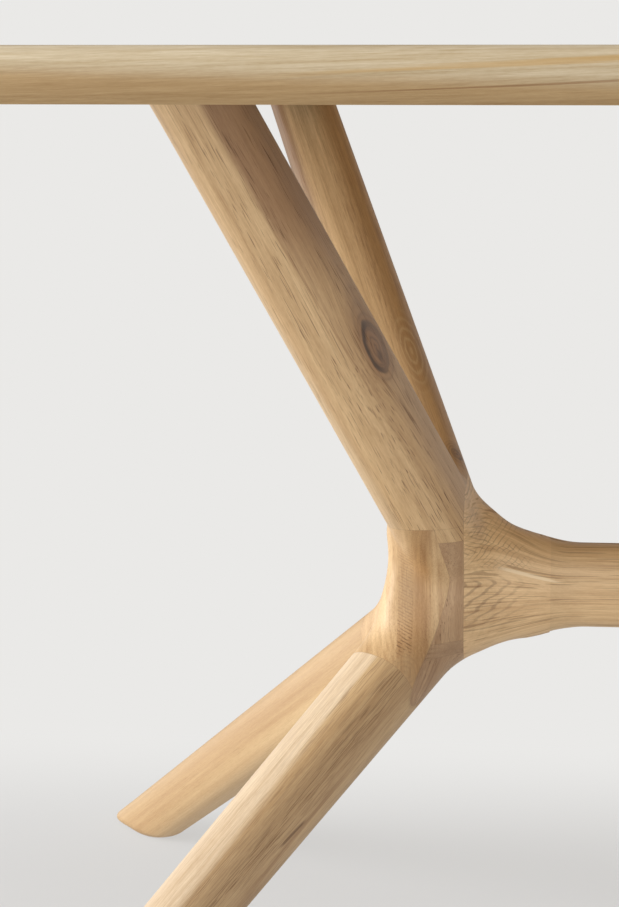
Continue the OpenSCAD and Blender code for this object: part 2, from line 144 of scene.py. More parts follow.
class Shader(Nodes):
    def __init__(self, name):
        self.material = bpy.data.materials.new(name)
        self.material.use_nodes = True
        super().__init__(self.material.node_tree)

    def vector(self, operation, *values, output=0):
        return self.node("ShaderNodeVectorMath", {"operation": operation},
                         dict(enumerate(values)), output)

    def dot(self, vector, direction):
        return self.vector("DOT_PRODUCT", vector, direction, output="Value")

    def mix(self, factor, first, second, kind="MIX"):
        settings = {"data_type": "RGBA", "blend_type": kind}
        return self.node("ShaderNodeMix", settings, {0: factor, 6: first, 7: second}, 2)

    def noise(self, vector, scale, detail=2.0, rough=0.5):
        return self.node("ShaderNodeTexNoise", {"noise_dimensions": "3D"},
                         {"Vector": vector, "Scale": scale, "Detail": detail, "Roughness": rough})

    def show(self, surface):
        self.node("ShaderNodeOutputMaterial", {}, {"Surface": surface}, None)
        return self.material

    def finish(self, **sockets):
        named = {key.replace("_", " "): value for key, value in sockets.items()}
        return self.show(self.node("ShaderNodeBsdfPrincipled", {}, named))


class Growth(Nodes):
    # a geometry tree with named inputs; grown() gives the plain mesh that it makes
    def __init__(self, name, inputs):
        super().__init__(bpy.data.node_groups.new(name, "GeometryNodeTree"))
        for label, kind in inputs.items():
            self.tree.interface.new_socket(label, in_out="INPUT", socket_type=f"NodeSocket{kind}")
        self.tree.interface.new_socket("Geometry", in_out="OUTPUT", socket_type="NodeSocketGeometry")
        self.start = self.tree.nodes.new("NodeGroupInput")

    def given(self, label):
        return Wire(self, self.start.outputs[label])

    def end(self, geometry):
        real = self.node("GeometryNodeRealizeInstances", {}, {"Geometry": geometry})
        dressed = self.node("GeometryNodeSetMaterial", {},
                            {"Geometry": real, "Material": self.given("Material")})
        out = self.tree.nodes.new("NodeGroupOutput")
        self.tree.links.new(dressed.socket, out.inputs[0])

    def grown(self, **values):
        holder = bpy.data.objects.new(self.tree.name, bpy.data.meshes.new(self.tree.name))
        scene.collection.objects.link(holder)
        growth = holder.modifiers.new("growth", "NODES")
        growth.node_group = self.tree
        for item in self.tree.interface.items_tree:
            if item.in_out == "INPUT":
                growth[item.identifier] = values[item.name]
        graph = bpy.context.evaluated_depsgraph_get()
        mesh = bpy.data.meshes.new_from_object(holder.evaluated_get(graph))
        holder.modifiers.clear()
        bpy.data.objects.remove(holder)
        return mesh


def paint(code, strength=1.0):
    # a colour written as it looks on screen, made linear
    parts = [int(code[i:i + 2], 16) / 255 for i in (1, 3, 5)]
    line = [p / 12.92 if p <= 0.04045 else ((p + 0.055) / 1.055) ** 2.4 for p in parts]
    return (*[min(p * strength, 1) for p in line], 1)


# Oak

oakLook = {
    "pale": "#e5c494", "deep": "#a37647", "pore": "#67452a", "knot": "#936a43", "crack": "#4a3424",
    "tone": 1.0, "roughness": 0.50, "gloss": 0.8, "index": 1.45,
    "base": 0.66,             # share of the pale colour where nothing changes it
    # how much each kind of streak changes that share, and how long and wide the streaks are
    "broad": 0.9, "broadLong": 0.35, "broadWide": 0.010,
    "streak": 0.5, "streakLong": 0.22, "streakWide": 0.0022,
    "fine": 0.6, "fineLong": 0.03, "fineWide": 0.0008,
    "fuzz": 0.30, "fuzzLong": 0.005, "fuzzWide": 0.0006,  # short fibres, as fine as sanding leaves them
    "flat": 3.0,              # how much wider the streaks are in the board's depth
    "pith": (0.05, 0.02), "slope": 0.02,   # the rings' middle, and how they slope along the board
    "rings": 0.35, "ring": 0.0034,         # how dark the growth rings are, and the distance between two
    "earlyAt": 0.3, "earlySoft": (0.02, 0.30),  # the porous part of a ring, in shares of the ring
    "wander": 0.006,          # how far the rings wander off their circle
    "swayLong": 0.30, "swayWide": 0.05, "twistLong": 0.22, "twistWide": 0.06,
    "zoneLong": 0.5, "zoneWide": 0.012, "zoneEdge": (0.36, 0.60),  # parts where rings and pores show more
    "pores": 0.6, "poreLong": 0.028, "poreWide": 0.00038, "poreFrom": 0.71, "poreSoft": 0.05, "poreFlat": 1.6,
    "poreEarly": 0.015, "poreZone": 0.03, "poreLeast": 0.4,
    "rays": 0.15, "rayLong": 0.010, "rayTall": 0.008, "rayWide": 0.0011, "rayEdge": (0.60, 0.72),
    "fibreShift": 17, "rayShift": 9,       # how far apart two boards lie in the noise
    "relief": 0.25, "reliefDeep": 0.0004, "fineHigh": 0.3, "streakHigh": 0.2, "poreDeep": 0.9,
    "poreRough": 0.25, "streakRough": 0.1,
    "glue": "#6b4c2e", "glueMuch": 0.2, "glueEdge": (0.0001, 0.0005),
}
knotLook = {
    "deep": 0.25,                          # how far a knot reaches into the wood
    "ripple": 0.4, "rippleSize": 1.2,      # how far its circles wave, and how finely
    "push": 0.35, "fade": 0.12,            # how far it bends the grain, and how fast that dies away
    "sharp": 2, "fray": 3,                 # how narrow and how rough its circles are
    "eye": 0.6, "eyeEdge": (0.92, 1.04),
    "rimAt": 0.95, "rimSoft": (0.04, 0.26), "litSoft": 0.6, "litLeast": 0.4,
    "inner": 0.35, "innerEdge": (0.8, 0.95),
    "blot": (0, 0, 0), "blotMuch": 0.7, "blotFray": 0.5, "blotEdge": (0.05, 0.50),  # its dark middle
}
bandLook = {"fray": 0.005, "keep": 0.0}    # keep is what is left of a band below its fade
lineLook = {"fray": 0.0, "kind": "MULTIPLY", "core": 0.3, "full": 0.5}


class Oak(Shader):
    # the wood of one piece; its marks are laid one by one over the colour of the grain
    def __init__(self, name, look, seed):
        super().__init__(name)
        self.look = look
        self.spot = self.node("ShaderNodeTexCoord", output="Object")
        self.x, _, self.height = self.split(self.spot)
        self.shift = np.random.default_rng(seed).uniform(-3, 3, 3)

    def seenFrom(self, place, size=(1, 1, 1)):
        return self.node("ShaderNodeMapping", {"vector_type": "TEXTURE"}, {
            "Vector": self.spot, "Location": place.translation,
            "Rotation": place.to_3x3().to_euler(), "Scale": size})

    def past(self, point, direction):
        # how far the spot lies beyond a plane
        return self.dot(self.vector("SUBTRACT", self.spot, point), direction)

    def toned(self, key):
        return paint(self.look[key], self.look["tone"])

    def lay(self, mask, colour, kind="MIX"):
        self.colour = self.mix(mask, self.colour, colour, kind)

    def waved(self, broad, streak):
        # strays that follow the grain's wide and middling streaks
        return (self.broad - 0.5) * broad + (self.streak - 0.5) * streak

    def fibre(self, long, wide, flat, move=0.0, detail=2.0, rough=0.5):
        # noise stretched along the grain
        stretch = (1 / long, 1 / (wide * flat), 1 / wide)
        shift = tuple(self.shift * self.look["fibreShift"] + move)
        return self.noise(self.vector("MULTIPLY_ADD", self.grain, stretch, shift), 1.0, detail, rough)

    def runGrain(self, place, knots, fan):
        # the grain's own directions, pushed aside by each knot
        along, across, deep = self.split(self.seenFrom(place))
        lifted = 0
        self.knots = []
        for knot in knots:
            knot = {**knotLook, "tint": self.look["crack"], **knot}
            centre = place.inverted() @ knot["place"].translation
            size = (knot["radius"] * knot["long"], knot["radius"], knot["deep"])
            inKnot = self.seenFrom(knot["place"], size)
            plain = self.vector("LENGTH", inKnot, output="Value")
            reach = plain + (self.noise(inKnot, knot["rippleSize"], 3.0) - 0.5) * knot["ripple"]
            near = self.math("EXPONENT", plain * plain * -knot["fade"])
            across = across - (across - centre.y) * near * knot["push"]
            lifted = near * knot["lift"] + lifted
            self.knots.append((knot, inKnot, reach))
        if fan:
            # the grain spreads with the height of the flared end
            near = abs(along).smooth(fan["from"], fan["to"])
            deep = (deep + near * fan["lift"]) / (near * fan["spread"] + 1)
        self.grain = self.join(along, across, deep)
        self.growRings(along, across, deep, lifted)

    def growRings(self, along, across, deep, lifted):
        look = self.look
        flat, poreFlat = look["flat"], look["poreFlat"]
        sway = self.fibre(look["swayLong"], look["swayWide"], flat, detail=1.0)
        twist = self.fibre(look["twistLong"], look["twistWide"], flat, 5.0, detail=1.0)
        y = across + (sway - 0.5) * (look["wander"] * 2) + look["pith"][0]
        z = deep + (twist - 0.5) * (look["wander"] * 2) + look["pith"][1]
        radius = self.math("SQRT", y * y + z * z) + along * look["slope"] + lifted
        phase = self.math("FRACT", radius / look["ring"])
        early = 1 - abs(phase - look["earlyAt"]).smooth(*look["earlySoft"])
        zone = self.fibre(look["zoneLong"], look["zoneWide"], flat, 9.0, detail=1.0).smooth(*look["zoneEdge"])
        self.broad = self.fibre(look["broadLong"], look["broadWide"], flat, 2.0)
        self.streak = self.fibre(look["streakLong"], look["streakWide"], flat, 6.0, rough=0.6)
        self.fine = self.fibre(look["fineLong"], look["fineWide"], poreFlat, 3.0, rough=0.6)
        fuzz = self.fibre(look["fuzzLong"], look["fuzzWide"], 1.0, 8.0, detail=1.0)
        pore = self.fibre(look["poreLong"], look["poreWide"], poreFlat, 4.0, detail=0.0)
        pore = pore + early * look["poreEarly"] + zone * look["poreZone"]
        pore = pore.smooth(look["poreFrom"], look["poreFrom"] + look["poreSoft"])
        self.pore = pore * (zone * (1 - look["poreLeast"]) + look["poreLeast"])
        share = self.waved(look["broad"], look["streak"]) + (self.fine - 0.5) * look["fine"]
        share = share + (fuzz - 0.5) * look["fuzz"] - early * zone * look["rings"] + look["base"]
        if look["rays"]:
            arc = self.math("ARCTAN2", y, z) * math.hypot(*look["pith"])
            inRay = self.join(along / look["rayLong"], radius / look["rayTall"], arc / look["rayWide"])
            moved = self.vector("ADD", inRay, tuple(self.shift * look["rayShift"]))
            share = share + self.noise(moved, 1.0, 1.0).smooth(*look["rayEdge"]) * look["rays"]
        self.colour = self.mix(share, self.toned("deep"), self.toned("pale"))

    def layBand(self, band):
        # a wide stretch of another tint that begins at a plane
        band = {**bandLook, **band}
        soft = band["soft"]
        edge = self.past(band["at"], band["towards"]) + self.waved(band["wave"], band["fray"])
        mask = edge.smooth(-soft, soft) * band["much"]
        if "until" in band:
            mask = mask * (1 - (edge - band["until"]).smooth(-soft, soft))
        if "fade" in band:
            # full above the first height, down to what it keeps below the second
            full = self.height.smooth(band["fade"][1], band["fade"][0])
            mask = mask * (full * (1 - band["keep"]) + band["keep"])
        self.lay(mask, paint(band["tint"]), "MULTIPLY")
        if "calm" in band:
            # fewer pores outside the band
            self.pore = self.pore * (mask * (1 - band["calm"]) + band["calm"])

    def layLine(self, line):
        # one thin streak along a plane, as long as twice its long
        line = {**lineLook, **line}
        gap = abs(self.past(line["at"], line["towards"]) + self.waved(line["wave"], line["fray"]))
        mask = (1 - gap.smooth(line["wide"] * line["core"], line["wide"])) * line["much"]
        run = abs(self.past(line["at"], line["run"]))
        mask = mask * (1 - run.smooth(line["long"] * line["full"], line["long"]))
        self.lay(mask, paint(line["tint"]), line["kind"])

    def layNet(self, net):
        # two sets of fine arcs that cross
        x = abs(self.x)
        edge = self.vector("SUBTRACT", self.join(x, 0.0, self.height), net["at"])
        edge = self.dot(edge, net["towards"]).smooth(*net["edge"])
        inside = edge * x.smooth(net["from"], net["to"]) * net["much"]
        bow = (x - net["at"].x) * (x - net["at"].x) * net["bow"]
        wave = self.waved(*net["waves"])
        for lean, pitch in net["sets"]:
            arcs = self.math("SINE", (x * lean + self.height + bow) * (2 * math.pi / pitch) + wave)
            patch = self.join(x / net["patch"][0], lean, self.height / net["patch"][1])
            some = self.noise(patch, 1.0, 1.0).smooth(*net["some"])
            self.lay(inside * some * arcs.smooth(*net["crisp"]), self.toned("pore"))

    def layArches(self, arches):
        # nested arches that open towards the knot
        rise = self.height - arches["at"].z
        away = arches["at"].x - abs(self.x)
        curve = self.math("SQRT", rise * rise + arches["round"] * arches["round"]) * arches["slope"] + away
        arcs = self.math("SINE", curve * (2 * math.pi / arches["pitch"]) + self.waved(*arches["waves"]))
        inside = (1 - away.smooth(*arches["fade"])) * (1 - (-rise).smooth(*arches["low"])) * arches["much"]
        inside = inside * (1 - rise.smooth(*arches["high"]))
        self.lay(inside * arcs.smooth(*arches["crisp"]), self.toned("pore"))

    def layFleck(self, fleck):
        # a patch of short dark stripes, darker towards the bottom
        x, height = self.x, self.height
        (middleX, middleZ), (halfX, halfZ), (softX, softZ) = fleck["middle"], fleck["half"], fleck["soft"]
        inside = 1 - abs(x - middleX).smooth(halfX - softX, halfX)
        inside = inside * (1 - abs(height - middleZ).smooth(halfZ - softZ, halfZ))
        broken = self.noise(self.join(x / fleck["patch"][0], 0.0, height / fleck["patch"][1]), 1.0, 1.0)
        turns = (x * fleck["lean"] + height) * (2 * math.pi / fleck["pitch"])
        stripe = self.math("SINE", turns + broken * fleck["wave"]).smooth(*fleck["crisp"])
        inside = inside * (fleck["low"] - height.smooth(middleZ - halfZ, middleZ) * fleck["fall"])
        self.lay(inside * fleck["shade"], paint(fleck["tint"]), "MULTIPLY")
        self.lay(inside * stripe * broken.smooth(*fleck["some"]) * fleck["much"], paint(self.look["pore"]))

    def layKnot(self, knot, inKnot, reach):
        circles = self.math("SINE", reach * knot["circles"] + (self.fine - 0.5) * knot["fray"]) * 0.5 + 0.5
        circles = circles ** knot["sharp"]
        halo = 1 - reach.smooth(1.0, knot["halo"])
        self.lay(halo * knot["shade"], self.toned("knot"))
        self.lay(halo * circles * knot["lines"], paint(knot["tint"], self.look["tone"]))
        if not knot["dark"]:
            return
        # the eye; lit says on which side its rim is darkest
        side = self.split(inKnot)[1]
        self.lay((1 - reach.smooth(*knot["eyeEdge"])) * knot["eye"], self.toned("knot"))
        blot = self.vector("LENGTH", self.vector("SUBTRACT", inKnot, knot["blot"]), output="Value")
        centre = 1 - (blot + (self.fine - 0.5) * knot["blotFray"]).smooth(*knot["blotEdge"])
        lit = (side * knot["lit"]).smooth(-knot["litSoft"], knot["litSoft"])
        rim = 1 - abs(reach - knot["rimAt"]).smooth(*knot["rimSoft"])
        rim = rim * (lit * (1 - knot["litLeast"]) + knot["litLeast"])
        inner = circles * (1 - reach.smooth(*knot["innerEdge"])) * knot["inner"]
        dark = self.math("MAXIMUM", rim * knot["dark"], centre * knot["blotMuch"])
        self.lay(self.math("MAXIMUM", dark, inner), self.toned("crack"))

    def laySeam(self, point, normal):
        gap = abs(self.past(point, normal))
        self.lay((1 - gap.smooth(*self.look["glueEdge"])) * self.look["glueMuch"], paint(self.look["glue"]))

    def oiled(self):
        look = self.look
        relief = self.fine * look["fineHigh"] + self.streak * look["streakHigh"]
        relief = relief - self.pore * look["poreDeep"]
        normal = self.node("ShaderNodeBump", {}, {
            "Strength": look["relief"], "Distance": look["reliefDeep"], "Height": relief})
        rough = self.pore * look["poreRough"] + (self.streak - 0.5) * look["streakRough"] + look["roughness"]
        return self.finish(Base_Color=self.colour, Roughness=rough, Normal=normal,
                           IOR=look["index"], Specular_IOR_Level=look["gloss"])


def makeOak(name, place, seed, bands=(), knots=(), flecks=(), lines=(), seams=(), nets=(), chevrons=(),
            fan=None, **changes):
    wood = Oak(name, {**oakLook, **changes}, seed)
    wood.runGrain(place, knots, fan)
    for band in bands:
        wood.layBand(band)
    for line in lines:
        wood.layLine(line)
    for net in nets:
        wood.layNet(net)
    for arches in chevrons:
        wood.layArches(arches)
    wood.lay(wood.pore * wood.look["pores"], wood.toned("pore"))
    for fleck in flecks:
        wood.layFleck(fleck)
    for knot, inKnot, reach in wood.knots:
        wood.layKnot(knot, inKnot, reach)
    for point, normal in seams:
        wood.laySeam(point, normal)
    return wood.oiled()


def grainPlace(origin, along, out=(0, 0, 1)):
    # x runs with the grain, z as near to out as it can
    x = Vector(along).normalized()
    y = Vector(out).cross(x).normalized()
    z = x.cross(y)
    place = Matrix((x, y, z)).transposed().to_4x4()
    place.translation = Vector(origin)
    return place


# Metal and plastic

plainLook = {"speck": 0.0002, "speckRough": 0.12, "speckHigh": 0.05, "speckDeep": 0.0002,
             "cloud": 0.025, "cloudRough": 0.1, "cloudTone": 0.7}


def makePlain(name, colour, roughness, metallic=0.0, marks=0.15):
    # an even colour with fine marks in its gloss
    shader = Shader(name)
    spot = shader.node("ShaderNodeTexCoord", output="Object")
    speck = shader.noise(spot, 1 / plainLook["speck"])
    cloud = shader.noise(spot, 1 / plainLook["cloud"])
    tint = shader.mix(cloud * marks, paint(colour), paint(colour, plainLook["cloudTone"]))
    rough = roughness + (speck - 0.5) * plainLook["speckRough"] + (cloud - 0.5) * plainLook["cloudRough"]
    normal = shader.node("ShaderNodeBump", {}, {
        "Strength": plainLook["speckHigh"], "Distance": plainLook["speckDeep"], "Height": speck})
    return shader.finish(Base_Color=tint, Roughness=rough, Metallic=metallic, Normal=normal)


# Mesh helpers

sharpAngle = 35  # degrees, past which an edge stays crisp
tiny = 1e-6      # points nearer than this are one


def addPiece(name, mesh, material, replaced):
    piece = bpy.data.objects.new(name, mesh)
    scene.collection.objects.link(piece)
    mesh.materials.clear()
    mesh.materials.append(material)
    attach(piece, "root")
    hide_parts(*replaced)


def meshOf(name, points, faces):
    mesh = bpy.data.meshes.new(name)
    mesh.from_pydata([tuple(p) for p in points], [], faces)
    return tidied(mesh)


def tidied(mesh):
    # outward faces, smooth but for the cut edges
    work = bmesh.new()
    work.from_mesh(mesh)
    bmesh.ops.remove_doubles(work, verts=work.verts, dist=tiny)
    bmesh.ops.recalc_face_normals(work, faces=work.faces)
    work.to_mesh(mesh)
    work.free()
    mesh.shade_smooth()
    mesh.set_sharp_from_angle(angle=math.radians(sharpAngle))
    return mesh


def ringFaces(rings, sides):
    faces = []
    for j in range(rings - 1):
        for i in range(sides):
            k = (i + 1) % sides
            faces.append((j * sides + i, j * sides + k, (j + 1) * sides + k, (j + 1) * sides + i))
    return faces


def copied(mesh, matrix):
    twin = mesh.copy()
    twin.transform(matrix)
    if matrix.determinant() < 0:
        twin.flip_normals()
    return twin


def carved(mesh, *steps):
    # steps are ("INTERSECT" or "DIFFERENCE", tool mesh)
    holder = bpy.data.objects.new("carving", mesh)
    scene.collection.objects.link(holder)
    tools = []
    for operation, tool in steps:
        block = bpy.data.objects.new("carvingTool", tool)
        scene.collection.objects.link(block)
        tools.append(block)
        cut = holder.modifiers.new("cut", "BOOLEAN")
        cut.solver = "MANIFOLD"
        cut.operation = operation
        cut.object = block
    graph = bpy.context.evaluated_depsgraph_get()
    result = bpy.data.meshes.new_from_object(holder.evaluated_get(graph))
    for thing in [holder, *tools]:
        bpy.data.objects.remove(thing)
    return result


def blockMesh(low, high, matrix=None):
    points = [(x, y, z) for x in (low[0], high[0]) for y in (low[1], high[1]) for z in (low[2], high[2])]
    faces = [(0, 1, 3, 2), (4, 6, 7, 5), (0, 4, 5, 1), (2, 3, 7, 6), (0, 2, 6, 4), (1, 5, 7, 3)]
    mesh = bpy.data.meshes.new("block")
    mesh.from_pydata(points, [], faces)
    if matrix is not None:
        mesh.transform(matrix)
    return mesh


# The knot's surface: tapered rounded limbs that flow into each other.
# Places are seen from the left knot, for the rear member; x runs along the table.

knot = {
    # where heads and feet stand, and how far the limbs of the legs run on past them
    "headOut": 0.144, "headSpread": 0.635, "footOut": 0.306, "footSpread": 0.795, "legPast": 0.08,
    # where the middle lines of the legs start
    "lineX": 0.0005, "lowerLineY": 0.0153, "upperLineY": 0.0288, "lowZ": 0.315, "highZ": 0.394,
    # half sizes at the start and at the end, the section's turn in degrees, and how square it is
    "upperFrom": (0.0438, 0.0307), "upperTo": (0.032, 0.0277), "upperTurn": -26.5, "upperPower": 2.8,
    "lowerFrom": (0.0316, 0.0313), "lowerTo": (0.0262, 0.021), "lowerTurn": 6, "lowerPower": 2.4,
    # the upright limb that fills the middle
    "hubX": 0.0012, "hubY": 0.0244, "hubFrom": 0.3368, "hubTo": 0.386, "hubSize": (0.0442, 0.0152),
    "hubTurn": 55, "hubPower": 2.5,
    # how widely one limb flows into the next
    "upperBlend": 0.0148, "lowerBlend": 0.0409, "pairBlend": 0.0183, "stretcherBlend": 0.0364,
    # the bend between the middle lines, and the wood left past the straight cuts
    "zoneBelow": 0.055, "zoneAbove": 0.036, "cutMargin": 0.005,
    # points on a ring, how many sizes out they may lie, and the heights between rings
    "sides": 144, "limit": 2.0, "step": 0.0018, "legStep": 0.014, "legGap": 0.004,
    "fineBeyond": 0.06,  # how far past the zone the close steps go on
    "halvings": 18,      # how often the search for the surface halves its step
}
beam = {
    "z": 0.341, "size": (0.033, 0.025), "power": 2.6,
    # its taller start at the knot
    "collarLength": 0.0593, "collarZ": 0.325, "collarFrom": 0.0202, "collarTo": 0.0372,
    "collarPower": 2.3, "collarBlend": 0.034,
    # the small step below the joint of flare and stretcher
    "shoulder": 0.0008, "shoulderLength": 0.018,
}
seam = {
    "endFace": endFace, "flareLength": 0.067, "cheekTop": 0.400, "coreTop": 0.388, "coreHeight": 0.083,
    "packer": 0.011, "lower": 0.0755,  # lower: how far down the leg it meets the cheek
    "glueX": 0.0361, "glueTurn": 26.7, "glueLean": 7.4,  # the plane between cheek and core, in degrees
}
sole = {"z": 0.001, "round": 0.008, "rings": 9}


def easeOf(share):
    c = np.clip(share, 0, 1)
    return c * c * (3 - 2 * c)


def unit(v):
    v = np.asarray(v, float)
    return v / np.linalg.norm(v)


def makeLimb(start, end, side, turn, sizeFrom, sizeTo, power, past=0.0):
    start, end = np.array(start, float), np.array(end, float)
    run = unit(end - start)
    face = np.cross(side, run)
    c, s = math.cos(math.radians(turn)), math.sin(math.radians(turn))
    return {"start": start, "run": run, "length": np.linalg.norm(end - start),
            "u": face * c + side * s, "v": side * c - face * s,
            "from": np.array(sizeFrom), "to": np.array(sizeTo), "power": power, "past": past}


def limbGap(p, limb):
    q = p - limb["start"]
    along = q @ limb["run"]
    held = np.clip(along, 0, limb["length"])
    size = limb["from"] + (limb["to"] - limb["from"]) * (held / limb["length"])[..., None]
    u, v = q @ limb["u"], q @ limb["v"]
    over = along - np.clip(along, 0, limb["length"] + limb["past"])
    power = limb["power"]
    ratio = (np.abs(u / size[..., 0]) ** power + np.abs(v / size[..., 1]) ** power) ** (2 / power)
    ratio = ratio + over * over / (size[..., 0] * size[..., 1])
    return np.sqrt(u * u + v * v + over * over) * (1 - 1 / np.sqrt(np.maximum(ratio, 1e-4)))


def blended(a, b, width):
    h = np.maximum(width - np.abs(a - b), 0) / width
    return np.minimum(a, b) - h * h * width / 4


def levelSide(run):
    return unit([run[1], -run[0], 0])


lowerStart = np.array([knot["lineX"], knot["lowerLineY"], knot["lowZ"]])
upperStart = np.array([knot["lineX"], knot["upperLineY"], knot["highZ"]])
footPoint = np.array([-knot["footOut"], knot["footSpread"] / 2, 0])
headPoint = np.array([-knot["headOut"], knot["headSpread"] / 2, table["underside"]])
lowerRun, upperRun = unit(footPoint - lowerStart), unit(headPoint - upperStart)
lowerLimb = makeLimb(lowerStart, footPoint, levelSide(lowerRun), knot["lowerTurn"],
                     knot["lowerFrom"], knot["lowerTo"], knot["lowerPower"], knot["legPast"])
upperLimb = makeLimb(upperStart, headPoint, levelSide(upperRun), knot["upperTurn"],
                     knot["upperFrom"], knot["upperTo"], knot["upperPower"], knot["legPast"])
hubAcross = math.radians(knot["hubTurn"])
hubLimb = makeLimb([knot["hubX"], knot["hubY"], knot["hubFrom"]], [knot["hubX"], knot["hubY"], knot["hubTo"]],
                   np.array([math.cos(hubAcross), math.sin(hubAcross), 0]), 0,
                   knot["hubSize"], knot["hubSize"], knot["hubPower"])
beamLimb = makeLimb([0, 0, beam["z"]], [table["knotX"], 0, beam["z"]], np.array([0, -1, 0]), 0,
                    beam["size"], beam["size"], beam["power"])
collarLimb = makeLimb([0, 0, beam["collarZ"]], [beam["collarLength"], 0, beam["z"]], np.array([0, -1, 0]), 0,
                      (beam["collarFrom"], beam["size"][1]), (beam["collarTo"], beam["size"][1]),
                      beam["collarPower"])


def memberGap(p):
    upper = blended(limbGap(p, upperLimb), limbGap(p, hubLimb), knot["upperBlend"])
    return blended(upper, limbGap(p, lowerLimb), knot["lowerBlend"])


def knotGap(p):
    pair = blended(memberGap(p), memberGap(p * np.array([1, -1, 1])), knot["pairBlend"])
    arm = blended(limbGap(p, beamLimb), limbGap(p, collarLimb), beam["collarBlend"])
    return blended(pair, arm, knot["stretcherBlend"])


def surfaceSteps(centres, rays, limits):
    # how many times each ray fits between its centre and the surface
    low, high = np.zeros(limits.shape), limits.copy()
    inside = knotGap(centres + rays * limits[..., None]) < 0
    for _ in range(knot["halvings"]):
        half = (low + high) / 2
        within = knotGap(centres + rays * half[..., None]) < 0
        low, high = np.where(within, half, low), np.where(within, high, half)
    return np.where(inside, limits, (low + high) / 2)


def memberPoints():
    zoneLow, zoneHigh = knot["lowZ"] - knot["zoneBelow"], knot["highZ"] + knot["zoneAbove"]
    hubMiddle = np.array([knot["hubX"], knot["hubY"], (knot["hubFrom"] + knot["hubTo"]) / 2])

    def lineAt(start, run, z):
        return start + run * ((z - start[2]) / run[2])

    def levelAxes(limb, flip):
        size = (limb["from"] + limb["to"]) / 2
        return np.array([(limb["u"] - limb["run"] * (limb["u"][2] / limb["run"][2])) * (flip * size[0]),
                         (limb["v"] - limb["run"] * (limb["v"][2] / limb["run"][2])) * size[1]])

    lowerAxes, upperAxes = levelAxes(lowerLimb, -1), levelAxes(upperLimb, 1)
    fineLow, fineHigh = zoneLow - knot["fineBeyond"], zoneHigh + knot["fineBeyond"]
    soleHeights = sole["z"] + sole["round"] * (1 - np.cos(np.linspace(0, math.pi / 2, sole["rings"])))
    heights = np.concatenate([
        soleHeights, np.arange(sole["z"] + sole["round"] + knot["legGap"], fineLow, knot["legStep"]),
        np.arange(fineLow, fineHigh, knot["step"]),
        np.arange(fineHigh, table["underside"] - knot["legGap"], knot["legStep"]), [table["underside"]]])
    turns = 2 * math.pi * (np.arange(knot["sides"]) + 0.5) / knot["sides"]
    centres, rays, limits, insets = [], [], [], []
    for z in heights:
        if z < zoneLow:
            centre = lineAt(lowerStart, lowerRun, z)
        elif z > zoneHigh:
            centre = lineAt(upperStart, upperRun, z)
        elif z < hubMiddle[2]:
            low = lineAt(lowerStart, lowerRun, zoneLow)
            centre = low + (hubMiddle - low) * ((z - zoneLow) / (hubMiddle[2] - zoneLow))
        else:
            high = lineAt(upperStart, upperRun, zoneHigh)
            centre = hubMiddle + (high - hubMiddle) * ((z - hubMiddle[2]) / (zoneHigh - hubMiddle[2]))
        axes = lowerAxes + (upperAxes - lowerAxes) * easeOf((z - zoneLow) / (zoneHigh - zoneLow))
        ray = np.outer(np.cos(turns), axes[0]) + np.outer(np.sin(turns), axes[1])
        limit = np.full(len(turns), knot["limit"])
        back = ray[:, 1] < -tiny
        limit[back] = np.minimum(limit[back], (centre[1] + knot["cutMargin"]) / -ray[back, 1])
        if fineLow < z < fineHigh:
            ahead = ray[:, 0] > tiny
            limit[ahead] = np.minimum(limit[ahead],
                                      (seam["endFace"] + knot["cutMargin"] - centre[0]) / ray[ahead, 0])
        rise = min(max(sole["round"] - (z - sole["z"]), 0), sole["round"])
        insets.append(sole["round"] - math.sqrt(sole["round"] ** 2 - rise ** 2))
        centres.append(np.repeat(centre[None], len(turns), 0))
        rays.append(ray)
        limits.append(limit)
    centres, rays, limits = np.array(centres), np.array(rays), np.array(limits)
    steps = surfaceSteps(centres, rays, limits)
    steps = steps - np.array(insets)[:, None] / np.linalg.norm(rays, axis=2)
    return centres + rays * steps[..., None]


def closedSkin(name, rings):
    count, around = len(rings), len(rings[0])
    faces = ringFaces(count, around)
    faces.append(tuple(range(around))[::-1])
    faces.append(tuple((count - 1) * around + i for i in range(around)))
    return meshOf(name, rings.reshape(-1, 3), faces)


far = 1.5  # past every piece
blank = closedSkin("memberBlank", memberPoints())
seamMiddle = lowerStart + lowerRun * seam["lower"]
coreBottom = seam["coreTop"] - seam["coreHeight"]
packerBottom = coreBottom - seam["packer"]
glueTurn = (Matrix.Translation((seam["glueX"], 0, beam["z"]))
            @ Matrix.Rotation(math.radians(seam["glueTurn"]), 4, "Z")
            @ Matrix.Rotation(math.radians(seam["glueLean"]), 4, "Y"))
glueNormal = glueTurn.to_3x3() @ Vector((1, 0, 0))
seamTurn = Matrix.Translation(Vector(seamMiddle)) @ Vector((0, 0, 1)).rotation_difference(
    Vector(lowerRun)).to_matrix().to_4x4()


def rearHalf():
    return blockMesh((-far, 0, -far), (seam["endFace"], far, far))


def innerSide():
    return blockMesh((0, -far, -far), (far, far, far), glueTurn)


def belowSeam():
    return blockMesh((-far, -far, 0), (far, far, far), seamTurn)


def levels(low, high):
    return blockMesh((-far, -far, low), (far, far, high))


